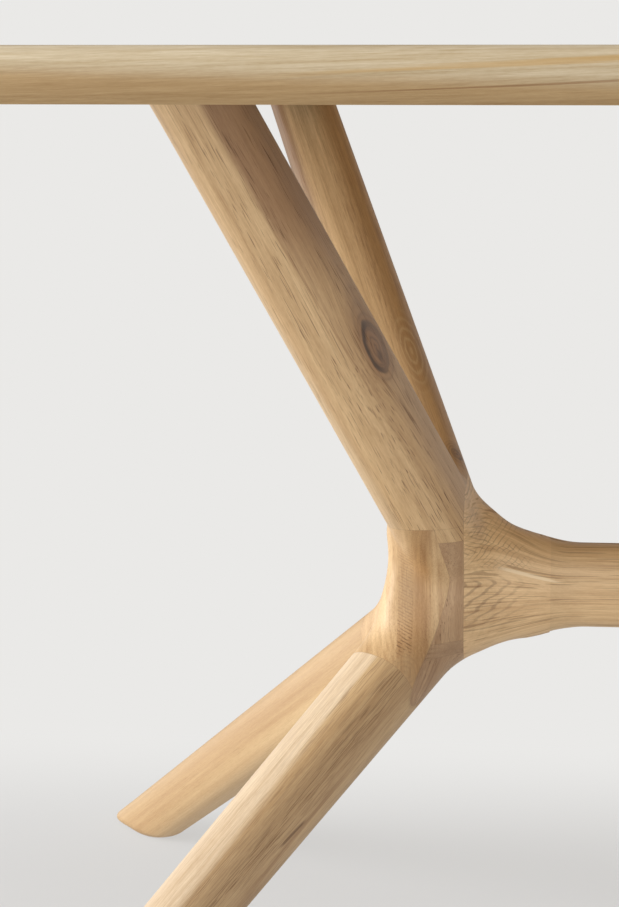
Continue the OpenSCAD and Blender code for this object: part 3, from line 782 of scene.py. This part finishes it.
member = carved(blank, ("INTERSECT", rearHalf()))
outerNotch = carved(levels(-far, seam["cheekTop"]), ("DIFFERENCE", innerSide()))
memberMeshes = {
    "upperLeg": carved(member, ("INTERSECT", levels(seam["coreTop"], far)), ("DIFFERENCE", outerNotch)),
    "cheek": carved(member, ("INTERSECT", levels(-far, seam["cheekTop"])), ("DIFFERENCE", innerSide()),
                    ("DIFFERENCE", belowSeam())),
    "core": carved(member, ("INTERSECT", levels(coreBottom, seam["coreTop"])), ("INTERSECT", innerSide())),
    "packer": carved(member, ("INTERSECT", levels(packerBottom, coreBottom)), ("INTERSECT", innerSide())),
    "heel": carved(member, ("INTERSECT", levels(-far, packerBottom)), ("INTERSECT", innerSide())),
    "lowerLeg": carved(member, ("INTERSECT", belowSeam()), ("INTERSECT", levels(-far, seam["coreTop"])),
                       ("DIFFERENCE", innerSide())),
}
for kind, mesh in memberMeshes.items():
    tidied(mesh)
    print("member piece", kind, len(mesh.polygons), "faces")

nodeOf = {
    "upperLeg": "upper_leg", "cheek": "cheek", "core": "core", "packer": "packer", "heel": "heel",
    "lowerLeg": "lower_leg",
}
glueSeams = {
    "glue": (glueTurn.translation, glueNormal),
    "top": ((0, 0, seam["cheekTop"]), (0, 0, 1)),
    "end": ((seam["endFace"], 0, 0), (1, 0, 0)),
    "low": (seamMiddle, lowerRun),
    "core": ((0, 0, seam["coreTop"]), (0, 0, 1)),
    "under": ((0, 0, coreBottom), (0, 0, 1)),
    "heel": ((0, 0, packerBottom), (0, 0, 1)),
}
seamsOf = {
    "upperLeg": ("top", "end", "core"), "cheek": ("glue", "top", "low"),
    "core": ("glue", "core", "under", "end"), "packer": ("glue", "under", "heel"),
    "heel": ("glue", "heel"), "lowerLeg": ("low", "glue"),
}
grains = {
    "upperLeg": grainPlace(upperStart, upperRun, (-0.9, 0, 0.4)),
    "cheek": grainPlace((0, 0.04, 0.35), (-0.03, 0.0, 1), (-1, 0, 0)),
    "core": grainPlace((0, 0.04, 0.35), (0.04, 0.0, 1), (1, 0, 0)),
    "packer": grainPlace((0, 0.04, 0.30), (1, 0.2, 0), (0, 0, 1)),
    "heel": grainPlace((0, 0.04, 0.28), (0.4, -0.3, 1), (0.5, 1, 0)),
    "lowerLeg": grainPlace(lowerStart, lowerRun, (-0.7, 0, 0.7)),
}
looks = {
    "upperLeg": {"pith": (0.09, 0.05), "slope": 0.012, "rings": 0.1, "rays": 0, "deep": "#986c3c",
                 "tone": 0.98, "pores": 0.8, "poreLong": 0.044, "poreWide": 0.00050, "poreFlat": 1.3},
    "cheek": {"pith": (0.02, 0.10), "tone": 0.89, "rings": 0.1, "pores": 0.3, "rays": 0, "streak": 0.8,
              "streakWide": 0.003, "flat": 6.0},
    "core": {"pith": (0.03, 0.06), "tone": 0.66, "rings": 0.1, "flat": 6.0, "pale": "#e6bf92",
             "deep": "#a57343"},
    "packer": {"pith": (0.03, 0.06), "tone": 0.60, "pale": "#e0b88c", "deep": "#9c6f45"},
    "heel": {"pith": (0.01, 0.05), "tone": 0.64, "slope": 0.1, "rings": 0.3, "pale": "#e0b88c",
             "deep": "#9c6f45"},
    "lowerLeg": {"pith": (0.10, 0.03), "slope": 0.012, "rings": 0.1, "rays": 0},
}


def atKnot(x, y, z):
    # a place seen from the left knot, in the table's frame
    return Vector((x - table["knotX"], y, z))


legKnot = {
    "place": grainPlace(atKnot(-0.0390, -0.1755, 0.5490), (0.363, -0.118, -0.928), (0.066, -0.991, 0.117)),
    "radius": 0.0062, "long": 2.9, "lift": 0.002, "halo": 1.9, "shade": 0.6, "circles": 19, "lines": 0.35,
    "dark": 0.95, "lit": -1, "blot": (0.35, 0.2, 0),
}
legPlume = {
    "place": grainPlace(atKnot(-0.0500, -0.1930, 0.5710), (0.33, 0.62, -0.71), (0.1, -0.9, 0.3)),
    "radius": 0.0075, "long": 2.2, "lift": 0.0, "halo": 2.4, "shade": 0.35, "circles": 8, "lines": 0.15,
    "dark": 0.0,
}
smallKnot = {
    "place": grainPlace(atKnot(0.0132, 0.026, 0.439), (0.3, -0.6, -0.7), (0.1, -0.9, 0.3)),
    "radius": 0.0035, "long": 1.3, "lift": 0.010, "halo": 4.0, "shade": 0.4, "circles": 12, "lines": 0.45,
    "dark": 0.8, "lit": 1,
}
backSwirl = {
    "place": grainPlace(atKnot(-0.0265, 0.070, 0.518), (0.363, -0.118, -0.928), (0.051, -0.992, 0.119)),
    "radius": 0.0042, "long": 3.0, "lift": 0.003, "halo": 3.8, "shade": 0.35, "circles": 9, "lines": 0.28,
    "dark": 0.0, "sharp": 3, "tint": "#e8cf9f",
}
heelSwirl = {
    "place": grainPlace(atKnot(-0.0212, -0.0885, 0.289), (0.2, -0.3, -0.9), (0, -1, 0.1)),
    "radius": 0.006, "long": 1.2, "lift": 0.008, "halo": 3.0, "shade": 0.1, "circles": 12, "lines": 0.1,
    "dark": 0.0,
}
legAcross = Vector((0.855, 0.121, 0.505))
stripAt = atKnot(-0.0668, -0.233, 0.5952) - legAcross * 0.012
legFibre = (-0.5, -0.65, -0.55)
marks = {
    "upperLegLeftFront": {
        "knots": [legPlume, legKnot],
        # the dark strip down the leg's right side: partly darker wood past a sharp edge, partly painted shade
        # under the tabletop, which is why it fades downwards
        "bands": [{"at": stripAt, "towards": legAcross, "soft": 0.0035, "wave": 0.010, "much": 0.9,
                   "tint": "#b9a596", "fade": (0.66, 0.58), "keep": 0.38},
                  # painted highlight: the leg's left rim is made paler and greyer, as light from the left
                  # glints on it
                  {"at": stripAt - legAcross * 0.031, "towards": -legAcross, "soft": 0.004, "wave": 0.004,
                   "much": 0.9, "tint": "#edf1f9"}],
        "lines": [{"at": stripAt, "towards": legAcross, "wide": 0.0009, "wave": 0.010, "much": 0.35,
                   "tint": "#b8966f", "run": (0.33, 0.62, -0.71), "long": 0.12}],
    },
    "upperLegLeftRear": {
        "pale": "#dfbd8e", "deep": "#8d653a", "tone": 0.98, "pores": 0.35,
        "knots": [smallKnot, backSwirl],
        # painted shade on the rear leg's left side, full up under the tabletop and gone lower down
        "bands": [{"at": atKnot(-0.1512, 0.27, 0.7108), "towards": (-0.946, -0.105, -0.307), "soft": 0.003,
                   "wave": 0.008, "much": 0.9, "tint": "#a9906f", "fade": (0.68, 0.50)},
                  # painted shade on the rear leg's right side, which faces away from the light
                  {"at": atKnot(-0.1145, 0.20, 0.7088), "towards": (0.937, 0.092, 0.338), "soft": 0.012,
                   "wave": 0.006, "much": 0.9, "tint": "#e4d5c0"}],
    },
    "cheekLeftFront": {
        "knots": [heelSwirl],
        "bands": [{"at": atKnot(-0.018, 0, 0.35), "towards": (1, 0, 0), "soft": 0.006, "wave": 0.004,
                   "much": 1.0, "tint": "#e2d4c2", "until": 0.016}],
        "flecks": [{"middle": (-0.0227 - table["knotX"], 0.342), "half": (0.0064, 0.046),
                    "soft": (0.001, 0.012), "lean": 0.5, "pitch": 0.0024, "wave": 5, "crisp": (-0.1, 0.9),
                    "patch": (0.005, 0.002), "some": (0.32, 0.55), "low": 1.3, "fall": 0.9,
                    "much": 0.6, "shade": 0.35, "tint": "#cdb8a4"}],
    },
    "lowerLegLeftRear": {
        "pale": "#e3c597", "tone": 0.97, "rings": 0.05, "pores": 0.1, "fine": 0.3, "streak": 0.35,
        # painted shade on the leg's upper side, which the lamps light more than its underside
        "bands": [{"at": atKnot(-0.1918, 0.22, 0.1186), "towards": (-0.665, 0.137, 0.734), "soft": 0.010,
                   "wave": 0.004, "much": 1.0, "tint": "#e6e1da"}],
    },
    "lowerLegLeftFront": {
        "pale": "#ead7b9", "deep": "#a6835c", "tone": 1.0, "rings": 0.05, "streak": 0.4, "pores": 0.50,
        "poreFrom": 0.57, "poreSoft": 0.08, "poreLong": 0.028, "poreWide": 0.00065, "poreFlat": 1.1,
        # darker front face past the arris: partly darker wood, partly painted shade; the pale facet left
        # above it stands for a highlight
        "bands": [{"at": atKnot(-0.0815, -0.1600, 0.2603), "towards": (0.79, -0.10, -0.60), "soft": 0.0035,
                   "wave": 0.01, "much": 0.9, "tint": "#d8c6a9", "calm": 0.25}],
        "lines": [{"at": atKnot(-0.0994, -0.1900, 0.1842), "towards": (0.79, -0.12, -0.60), "wide": 0.003,
                   "wave": 0.012, "much": 0.45, "tint": "#b39574", "run": legFibre, "long": 0.09},
                  {"at": atKnot(-0.0751, -0.2300, 0.2250), "towards": (0.742, -0.142, -0.655), "wide": 0.0012,
                   "wave": 0.0, "fray": 0.002, "much": 0.7, "tint": "#8a6a4a", "run": legFibre,
                   "long": 0.018}],
    },
}
seed = 10
for side, flipX in sides.items():
    for row, flipY in rows.items():
        place = Matrix.Diagonal((flipX, flipY, 1, 1)) @ Matrix.Translation((-table["knotX"], 0, 0))
        for kind, mesh in memberMeshes.items():
            seed += 1
            node = f"{nodeOf[kind]}_{side.lower()}_{row.lower()}"
            grain = place @ grains[kind]
            if grain.determinant() < 0:
                grain = grain @ Matrix.Diagonal((1, -1, 1, 1))
            planes = [(place @ Vector(glueSeams[key][0]), place.to_3x3() @ Vector(glueSeams[key][1]))
                      for key in seamsOf[kind]]
            material = makeOak(f"oak {kind} {side} {row}", grain, seed, seams=planes,
                               **{**looks[kind], **marks.get(f"{kind}{side}{row}", {})})
            addPiece(f"{kind}{side}{row}", tidied(copied(mesh, place)), material, [node])
print("trestles done")


# Flared stretcher ends, and the stretcher that takes up their curve

flare = {"sides": 160, "rings": 70, "ray": (0.030, 0.049), "midZ": 0.352, "limit": 2.6, "crowd": 1.3}
stretcher = {"joinLength": 0.06, "joinRings": 40, "plainRings": 24, "tone": 0.93}


def armRings(xs):
    turns = 2 * math.pi * (np.arange(flare["sides"]) + 0.5) / flare["sides"]
    rayY, rayZ = flare["ray"]
    ray = np.stack([np.zeros_like(turns), np.cos(turns) * rayY, np.sin(turns) * rayZ], -1)
    eased = easeOf((xs - seam["endFace"]) / seam["flareLength"])
    centres = np.stack([xs, np.zeros_like(xs), flare["midZ"] + (beam["z"] - flare["midZ"]) * eased], -1)
    centres = np.repeat(centres[:, None], len(turns), 1)
    rays = np.repeat(ray[None], len(xs), 0)
    steps = surfaceSteps(centres, rays, np.full(centres.shape[:2], flare["limit"]))
    return centres + rays * steps[..., None]


joinX = seam["endFace"] + seam["flareLength"]
flareMesh = closedSkin("flare", armRings(
    seam["endFace"] + seam["flareLength"] * np.linspace(0, 1, flare["rings"]) ** flare["crowd"]))
arm = {
    "tone": 1.0, "pith": (0.12, 0.055), "slope": 0.0, "rings": 0.05, "pores": 0.4, "wander": 0.012,
    "broad": 0.8, "broadWide": 0.004, "streak": 0.7, "streakWide": 0.0014, "rays": 0, "flat": 16.0,
    "poreLong": 0.050, "poreWide": 0.0008, "poreFrom": 0.62, "poreSoft": 0.10, "poreFlat": 16.0,
    "chevrons": [{"at": Vector((table["knotX"], 0, 0.3487)), "round": 0.002, "slope": 1.5, "pitch": 0.0115,
                  "waves": (9, 1.0), "crisp": (0.3, 1.0), "fade": (0.035, 0.085), "low": (0.016, 0.045),
                  "high": (0.001, 0.006), "much": 0.4}],
    "fan": {"from": table["knotX"] - 0.105, "to": table["knotX"] - 0.02, "lift": -0.004, "spread": 0.85},
    "nets": [{"at": Vector((table["knotX"] - 0.0535, 0, 0.359)), "towards": (-0.1, 0, 1),
              "edge": (-0.002, 0.004), "from": table["knotX"] - 0.085, "to": table["knotX"] - 0.05,
              "sets": [(-0.75, 0.0036), (0.9, 0.0050)], "bow": 3, "waves": (11, 0.6), "crisp": (0.55, 1.0),
              "patch": (0.03, 0.012), "some": (0.42, 0.62), "much": 0.4}],
    # painted highlight: a pale line along the crease on the flare's front
    "lines": [{"at": atKnot(0.072, -0.033, 0.3545), "towards": (0.245, 0, 0.97), "wide": 0.0014,
               "wave": 0.003, "much": 0.8, "tint": "#ead2ab", "kind": "MIX", "run": (0.97, 0, -0.245),
               "long": 0.03}],
}
beamGrain = grainPlace((0, 0, beam["z"]), (1, 0, 0), (0, 0, 1))
armSeed = 71
armOak = makeOak("oak arm", beamGrain, armSeed, **arm)
for side, flipX in sides.items():
    place = Matrix.Diagonal((flipX, 1, 1, 1)) @ Matrix.Translation((-table["knotX"], 0, 0))
    addPiece(f"flare{side}", tidied(copied(flareMesh, place)), armOak, [f"flare_{side.lower()}"])

joinRings = armRings(
    joinX + stretcher["joinLength"] * np.linspace(0, 1, stretcher["joinRings"]) ** flare["crowd"])
fade = 1 - easeOf((joinRings[..., 0] - joinX) / beam["shoulderLength"])
joinRings[..., 2] += beam["shoulder"] * fade * easeOf((beam["z"] - joinRings[..., 2]) / beam["size"][0])
leftEnd = joinRings - np.array([table["knotX"], 0, 0])
rightEnd = (leftEnd * np.array([-1, 1, 1]))[::-1]
plain = np.linspace(0, 1, stretcher["plainRings"] + 2)[1:-1, None, None]
plainPart = leftEnd[-1] * (1 - plain) + rightEnd[0] * plain
stretcherMesh = closedSkin("stretcherBar", np.concatenate([leftEnd, plainPart, rightEnd]))
beamOak = makeOak("oak beam", beamGrain, armSeed, **{**arm, "tone": stretcher["tone"]})
addPiece("stretcherBar", stretcherMesh, beamOak, ["stretcher"])
print("arms and stretcher done")


# Boards of the top

top = {"noseUp": 0.012, "noseLow": 0.030, "corner": 0.036, "cornerShare": 0.3, "spans": 80, "rows": 21,
       "ribs": 42, "plainRibs": 3, "seed": 5, "firstSeed": 100}


def boardTree():
    # a cube's points are laid out by the rule of the nose and of the rounded corners
    sizes = ("length", "inner", "outer", "cornerLine", "underside", "thick", "noseUp", "noseLow", "corner",
             "side")
    tree = Growth("boardGrowth", {**dict.fromkeys(sizes, "Float"), "ribs": "Int", "Material": "Material"})
    length, inner, outer, cornerLine, underside, thick, noseUp, noseLow, corner, side = map(tree.given, sizes)
    cube = tree.node("GeometryNodeMeshCube", {}, {
        "Vertices X": top["spans"] + 1, "Vertices Y": tree.given("ribs"), "Vertices Z": top["rows"]})
    x, y, z = tree.split(tree.node("GeometryNodeInputPosition"))
    middle = thick - noseUp
    below = tree.math("MAXIMUM", z * -2, 0) * tree.math("ARCSINE", middle / noseLow)
    above = tree.math("MAXIMUM", z * 2, 0) * (math.pi / 2)
    level = underside + middle - noseLow * tree.math("SINE", below) + noseUp * tree.math("SINE", above)
    inset = noseLow * (1 - tree.math("COSINE", below)) + noseUp * (1 - tree.math("COSINE", above))
    plain = 1 - top["cornerShare"]
    share = abs(x) * 2
    past = tree.math("MAXIMUM", share - plain, 0) / top["cornerShare"]
    across = inner + (outer - inner) * (y + 0.5)
    over = tree.math("MAXIMUM", across - cornerLine, 0) / corner
    # the square of each corner is pressed into a quarter circle; the last term keeps it off zero
    diagonal = tree.math("SQRT", past * past + over * over + tiny * tiny)
    reach = (corner - inset) * tree.math("MAXIMUM", past, over) / diagonal
    flat = tree.math("MINIMUM", share, plain) / plain * (length / 2 - corner)
    placed = tree.node("GeometryNodeSetPosition", {}, {"Geometry": cube, "Position": tree.join(
        tree.math("SIGN", x) * (flat + past * reach),
        (tree.math("MINIMUM", across, cornerLine) + over * reach) * side, level)})
    tree.end(placed)
    return tree


boardWidth = table["width"] / table["boards"]
boardLook = {"pale": "#e1c9a3", "deep": "#a5804e", "flat": 1.0, "rise": 0.0}
boardRange = {"tone": (0.78, 0.86), "slope": (0.006, 0.02), "pithY": (-0.05, 0.05), "pithZ": (0.04, 0.12)}
frontEdge = {
    "pale": "#dfceaf", "deep": "#a68853", "tone": 0.82, "pith": (0.03, 0.16), "slope": 0.014, "rise": 0.04,
    "rings": 0.1, "pores": 0.1, "rays": 0, "wander": 0.014, "broadWide": 0.006, "broad": 1.0, "streak": 0.6,
    "bands": [{"at": Vector((-0.40, -0.5, 0.7390)), "towards": (-0.022, 0, -1), "soft": 0.006, "wave": 0.006,
               "much": 0.9, "tint": "#dcc49c"}],
    "lines": [{"at": Vector((-0.40, -0.5, 0.7507)), "towards": (-0.0485, 0, 1), "wide": 0.0026, "wave": 0.006,
               "fray": 0.006, "much": 0.7, "tint": "#b08c50", "kind": "MIX", "run": (1, 0, 0), "long": 0.20},
              {"at": Vector((-0.38, -0.5, 0.7398)), "towards": (-0.046, 0, 1), "wide": 0.0008, "wave": 0.004,
               "fray": 0.0006, "much": 0.6, "tint": "#b5925f", "run": (1, 0, 0), "long": 0.20}],
}
boardGrowth = boardTree()
rng = np.random.default_rng(top["seed"])
for i in range(table["boards"]):
    low = -table["width"] / 2 + i * boardWidth
    edge = i in (0, table["boards"] - 1)
    side = -1 if i == 0 else 1
    inner, outer = sorted((low * side, (low + boardWidth) * side))
    middle = (0, low + boardWidth / 2, (table["height"] + table["underside"]) / 2)
    tone, slope, pithY, pithZ = [float(rng.uniform(*ends)) for ends in boardRange.values()]
    look = {**boardLook, "tone": tone, "slope": slope, "pith": (pithY, pithZ)}
    if i == 0:
        look.update(frontEdge)
    grain = grainPlace(middle, (1, 0, look.pop("rise")))
    material = makeOak(f"oak board {i + 1}", grain, top["firstSeed"] + i, **look)
    mesh = boardGrowth.grown(
        length=table["length"], inner=inner, outer=outer, side=float(side),
        cornerLine=outer - top["corner"] if edge else outer + 1.0,  # past the board: no corner
        underside=table["underside"], thick=table["height"] - table["underside"], noseUp=top["noseUp"],
        noseLow=top["noseLow"], corner=top["corner"], ribs=top["ribs"] if edge else top["plainRibs"],
        Material=material)
    addPiece(f"topBoard{i + 1}", tidied(mesh), material, [f"top_board_{i + 1}"])
print("top done")


# Hidden hardware: screws and glides are grown anew, the rest keeps its solids and gets its finish

blackSteel = makePlain("black steel", "#2b2b2c", roughness=0.42, marks=0.3)
brightSteel = makePlain("zinc steel", "#b9bcc0", roughness=0.32, metallic=1.0)
brass = makePlain("brass", "#b58d45", roughness=0.34, metallic=1.0)
padPlastic = makePlain("glide plastic", "#4a4643", roughness=0.55)
screws = {
    "around": 24, "thread": 0.14,   # sides, and how deep the thread cuts into the shaft
    "head": 2, "point": 0.3,        # widths of the head's face and of the tip, in shafts
    "leg": {"shaft": 0.0035, "pitch": 0.0026, "tip": 0.008, "ribs": 96, "socket": 0.0022, "deep": 0.0026},
    "top": {"shaft": 0.0030, "pitch": 0.0010, "tip": 0.0015, "ribs": 110, "socket": 0.0020, "deep": 0.0022},
    "legStep": 0.020,
}
glide = {"radius": 0.010, "around": 48, "ribs": 8, "round": 0.0015}
beech = {"rings": 0.1, "pores": 0.2, "rays": 0.1, "pale": "#dcc29a", "deep": "#c4a478", "seed": 60}
spotSizes = {"near": "Vector", "step": "Vector", "rows": "Int", "turn": "Vector"}


def onSpots(tree, thing):
    # two columns, mirrored in x and y; the rows lie at near plus whole steps
    grid = tree.node("GeometryNodeMeshGrid", {}, {
        "Size X": 2.0, "Size Y": tree.given("rows") - 1, "Vertices X": 2, "Vertices Y": tree.given("rows")})
    x, y, _ = tree.split(tree.node("GeometryNodeInputPosition"))
    nearX, nearY, level = tree.split(tree.given("near"))
    stepX, stepY, _ = tree.split(tree.given("step"))
    count = abs(y) - 0.5
    placed = tree.node("GeometryNodeSetPosition", {}, {"Geometry": grid, "Position": tree.join(
        tree.math("SIGN", x) * (nearX + count * stepX),
        tree.math("SIGN", y) * (nearY + count * stepY), level)})
    return tree.node("GeometryNodeInstanceOnPoints", {}, {
        "Points": placed, "Instance": thing, "Rotation": tree.given("turn")})


def screwTree():
    sizes = ("shaft", "long", "pitch", "tip", "socket", "deep")
    tree = Growth("screwGrowth", {**dict.fromkeys(sizes, "Float"), "ribs": "Int", **spotSizes,
                                  "Material": "Material"})
    shaft, long, pitch, tip, socket, deep = map(tree.given, sizes)
    rod = tree.node("GeometryNodeMeshCylinder", {}, {
        "Vertices": screws["around"], "Side Segments": tree.given("ribs"), "Radius": 1.0, "Depth": 1.0})
    head = Wire(tree, rod.socket.node.outputs["Bottom"])
    x, y, z = tree.split(tree.node("GeometryNodeInputPosition"))
    turn = tree.math("ARCTAN2", y, x)
    down = (z + 0.5) * long
    groove = tree.math("SINE", down / pitch * (2 * math.pi) - turn) * 0.5 + 0.5
    narrowing = tree.math("MINIMUM", (long - down) / tip + screws["point"], 1.0)
    stem = shaft * (1 - groove * screws["thread"]) * narrowing
    radius = tree.math("MAXIMUM", shaft * screws["head"] - down, stem)
    rod = tree.node("GeometryNodeSetPosition", {}, {
        "Geometry": rod, "Position": tree.join(x * radius, y * radius, down)})
    # the head's face steps in to a hexagon, then down
    edge = socket / tree.math("COSINE", tree.math("WRAP", turn, math.pi / 6, -math.pi / 6))
    for depth in (0.0, deep):
        pushed = tree.node("GeometryNodeExtrudeMesh", {"mode": "FACES"}, {
            "Mesh": rod, "Selection": head, "Offset Scale": 0.0, "Individual": False})
        head = Wire(tree, pushed.socket.node.outputs["Top"])
        hexagon = tree.join(tree.math("COSINE", turn) * edge, tree.math("SINE", turn) * edge, depth)
        rod = tree.node("GeometryNodeSetPosition", {}, {
            "Geometry": pushed, "Selection": head, "Position": hexagon})
    tree.end(onSpots(tree, rod))
    return tree


def glideTree():
    sizes = ("radius", "tall", "round")
    tree = Growth("glideGrowth", {**dict.fromkeys(sizes, "Float"), "ribs": "Int", **spotSizes,
                                  "Material": "Material"})
    radius, tall, bend = map(tree.given, sizes)
    pad = tree.node("GeometryNodeMeshCylinder", {}, {
        "Vertices": glide["around"], "Side Segments": tree.given("ribs"), "Radius": 1.0, "Depth": 1.0})
    x, y, z = tree.split(tree.node("GeometryNodeInputPosition"))
    up = (z + 0.5) * tall
    rise = tree.math("MAXIMUM", bend - up, 0.0)
    wide = radius - bend + tree.math("SQRT", bend * bend - rise * rise)
    pad = tree.node("GeometryNodeSetPosition", {}, {
        "Geometry": pad, "Position": tree.join(x * wide, y * wide, up)})
    tree.end(onSpots(tree, pad))
    return tree


screwGrowth = screwTree()
legLow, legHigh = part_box("leg_screws")
legStep = Vector((-upperRun[0], upperRun[1], 0)).normalized() * screws["legStep"]
lastLeg = legHigh - Vector((1, 1, 0)) * (screws["head"] * screws["leg"]["shaft"])
topLow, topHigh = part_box("top_screws")
lastTop = topHigh - Vector((1, 1, 0)) * (screws["head"] * screws["top"]["shaft"])
spots = {
    "leg": {"near": (*(lastLeg - legStep).xy, legHigh.z), "step": tuple(legStep), "rows": 4,
            "turn": (math.pi, 0.0, 0.0), "long": legHigh.z - legLow.z},
    "top": {"near": (lastTop.x, lastTop.y / 4, topLow.z), "step": (0.0, lastTop.y / 2, 0.0), "rows": 5,
            "turn": (0.0, 0.0, 0.0), "long": topHigh.z - topLow.z},
}
for kind, spot in spots.items():
    mesh = screwGrowth.grown(**screws[kind], **spot, Material=brightSteel)
    addPiece(f"{kind}Screws", tidied(mesh), brightSteel, [f"{kind}_screws"])
padLow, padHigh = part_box("glides")
foot = padHigh - Vector((1, 1, 0)) * glide["radius"]
mesh = glideTree().grown(
    radius=glide["radius"], tall=padHigh.z - padLow.z, round=glide["round"], ribs=glide["ribs"], rows=2,
    near=(foot.x, foot.y, padLow.z), step=(0.0, 0.0, 0.0), turn=(0.0, 0.0, 0.0), Material=padPlastic)
addPiece("footGlides", tidied(mesh), padPlastic, ["glides"])
finishes = {"cross_bar": blackSteel, "bolts": brightSteel, "nuts": brightSteel, "inserts": brass}
for name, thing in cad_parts.items():
    if thing.hide_render:
        continue  # one of the pieces above stands for it
    found = [finish for key, finish in finishes.items() if key in name]
    if not found:
        # what is left are the dowels
        found = [makeOak(f"beech {name}", grainPlace((0, 0, 0), (1, 0, 0)), **beech)]
    thing.data.materials.clear()
    thing.data.materials.append(found[0])
print("hardware done")


# Floor, wall, light and camera

studio = {
    "wall": "#eae9e7", "near": "#dad9d7", "floor": "#d3d4d6", "floorSize": 9.0, "rough": 0.5,
    "behind": (0.22, 0.72), "round": (1.8, 3.2),  # where the floor fades into the wall, behind and around
    "lift": 0.66, "bounce": 0.42,                 # how much the floor glows, for the camera and for the oak
    "air": "#f2f1ef", "airLight": 0.55,
}


def stageMaterial():
    shader = Shader("studio floor")
    spot = shader.node("ShaderNodeTexCoord", output="Object")
    back = shader.split(spot)[1]
    away = shader.vector("LENGTH", spot, output="Value")
    ray = shader.node("ShaderNodeLightPath", output="Is Camera Ray")
    faded = shader.math("MAXIMUM", back.smooth(*studio["behind"]), away.smooth(*studio["round"]))
    pale = shader.mix(faded, paint(studio["near"]), paint(studio["wall"]))
    glow = shader.node("ShaderNodeEmission", {}, {"Color": pale, "Strength": 1.0})
    ground = shader.node("ShaderNodeBsdfDiffuse", {}, {
        "Color": paint(studio["floor"]), "Roughness": studio["rough"]})
    seen = faded * (1 - studio["lift"]) + studio["lift"]
    share = seen * ray + (1 - ray) * studio["bounce"]
    return shader.show(shader.node("ShaderNodeMixShader", {}, {0: share, 1: ground, 2: glow}))


reach = studio["floorSize"]
floorMesh = bpy.data.meshes.new("floor")
floorMesh.from_pydata([(-reach, -reach, 0), (reach, -reach, 0), (reach, reach, 0), (-reach, reach, 0)],
                      [], [(0, 1, 2, 3)])
floorMesh.materials.append(stageMaterial())
floor = bpy.data.objects.new("floor", floorMesh)
scene.collection.objects.link(floor)

world = bpy.data.worlds.new("studio air")
scene.world = world
world.use_nodes = True
air = Nodes(world.node_tree)
airSeen = air.node("ShaderNodeBackground", {}, {"Color": paint(studio["wall"])})
airLight = air.node("ShaderNodeBackground", {}, {
    "Color": paint(studio["air"]), "Strength": studio["airLight"]})
airRay = air.node("ShaderNodeLightPath", output="Is Camera Ray")
airBoth = air.node("ShaderNodeMixShader", {}, {0: airRay, 1: airLight, 2: airSeen})
air.node("ShaderNodeOutputWorld", {}, {"Surface": airBoth}, None)

lamps = {
    "keyLamp": {"at": (-3.1, -1.0, 1.2), "to": (-0.45, 0, 0.42), "size": 2.0, "power": 100},
    "rimLamp": {"at": (-2.3, 1.2, 0.5), "to": (-0.5, 0, 0.45), "size": 1.3, "power": 8},
    "fillLamp": {"at": (0.6, -3.7, 1.1), "to": (-0.3, 0, 0.4), "size": 2.6, "power": 40},
    "skyLamp": {"at": (-0.3, -1.2, 3.2), "to": (-0.3, -0.3, 0.7), "size": 1.8, "power": 10},
}
for name, lamp in lamps.items():
    data = bpy.data.lights.new(name, "AREA")
    data.size = lamp["size"]
    data.energy = lamp["power"]
    source = bpy.data.objects.new(name, data)
    source.location = lamp["at"]
    aim = Vector(lamp["to"]) - Vector(lamp["at"])
    source.rotation_euler = aim.to_track_quat("-Z", "Y").to_euler()
    scene.collection.objects.link(source)

camera = {"at": (-0.4253, -1.8793, 0.7519), "lens": 95.6, "film": 36, "down": 9.30, "turn": 5.4}
eye = bpy.data.cameras.new("photoCamera")
eye.lens = camera["lens"]
eye.sensor_width = camera["film"]
eye.sensor_fit = "AUTO"
viewer = bpy.data.objects.new("photoCamera", eye)
viewer.location = camera["at"]
viewer.rotation_euler = (math.radians(90 - camera["down"]), 0, math.radians(camera["turn"]))
scene.collection.objects.link(viewer)
scene.camera = viewer
scene.view_settings.view_transform = "Standard"
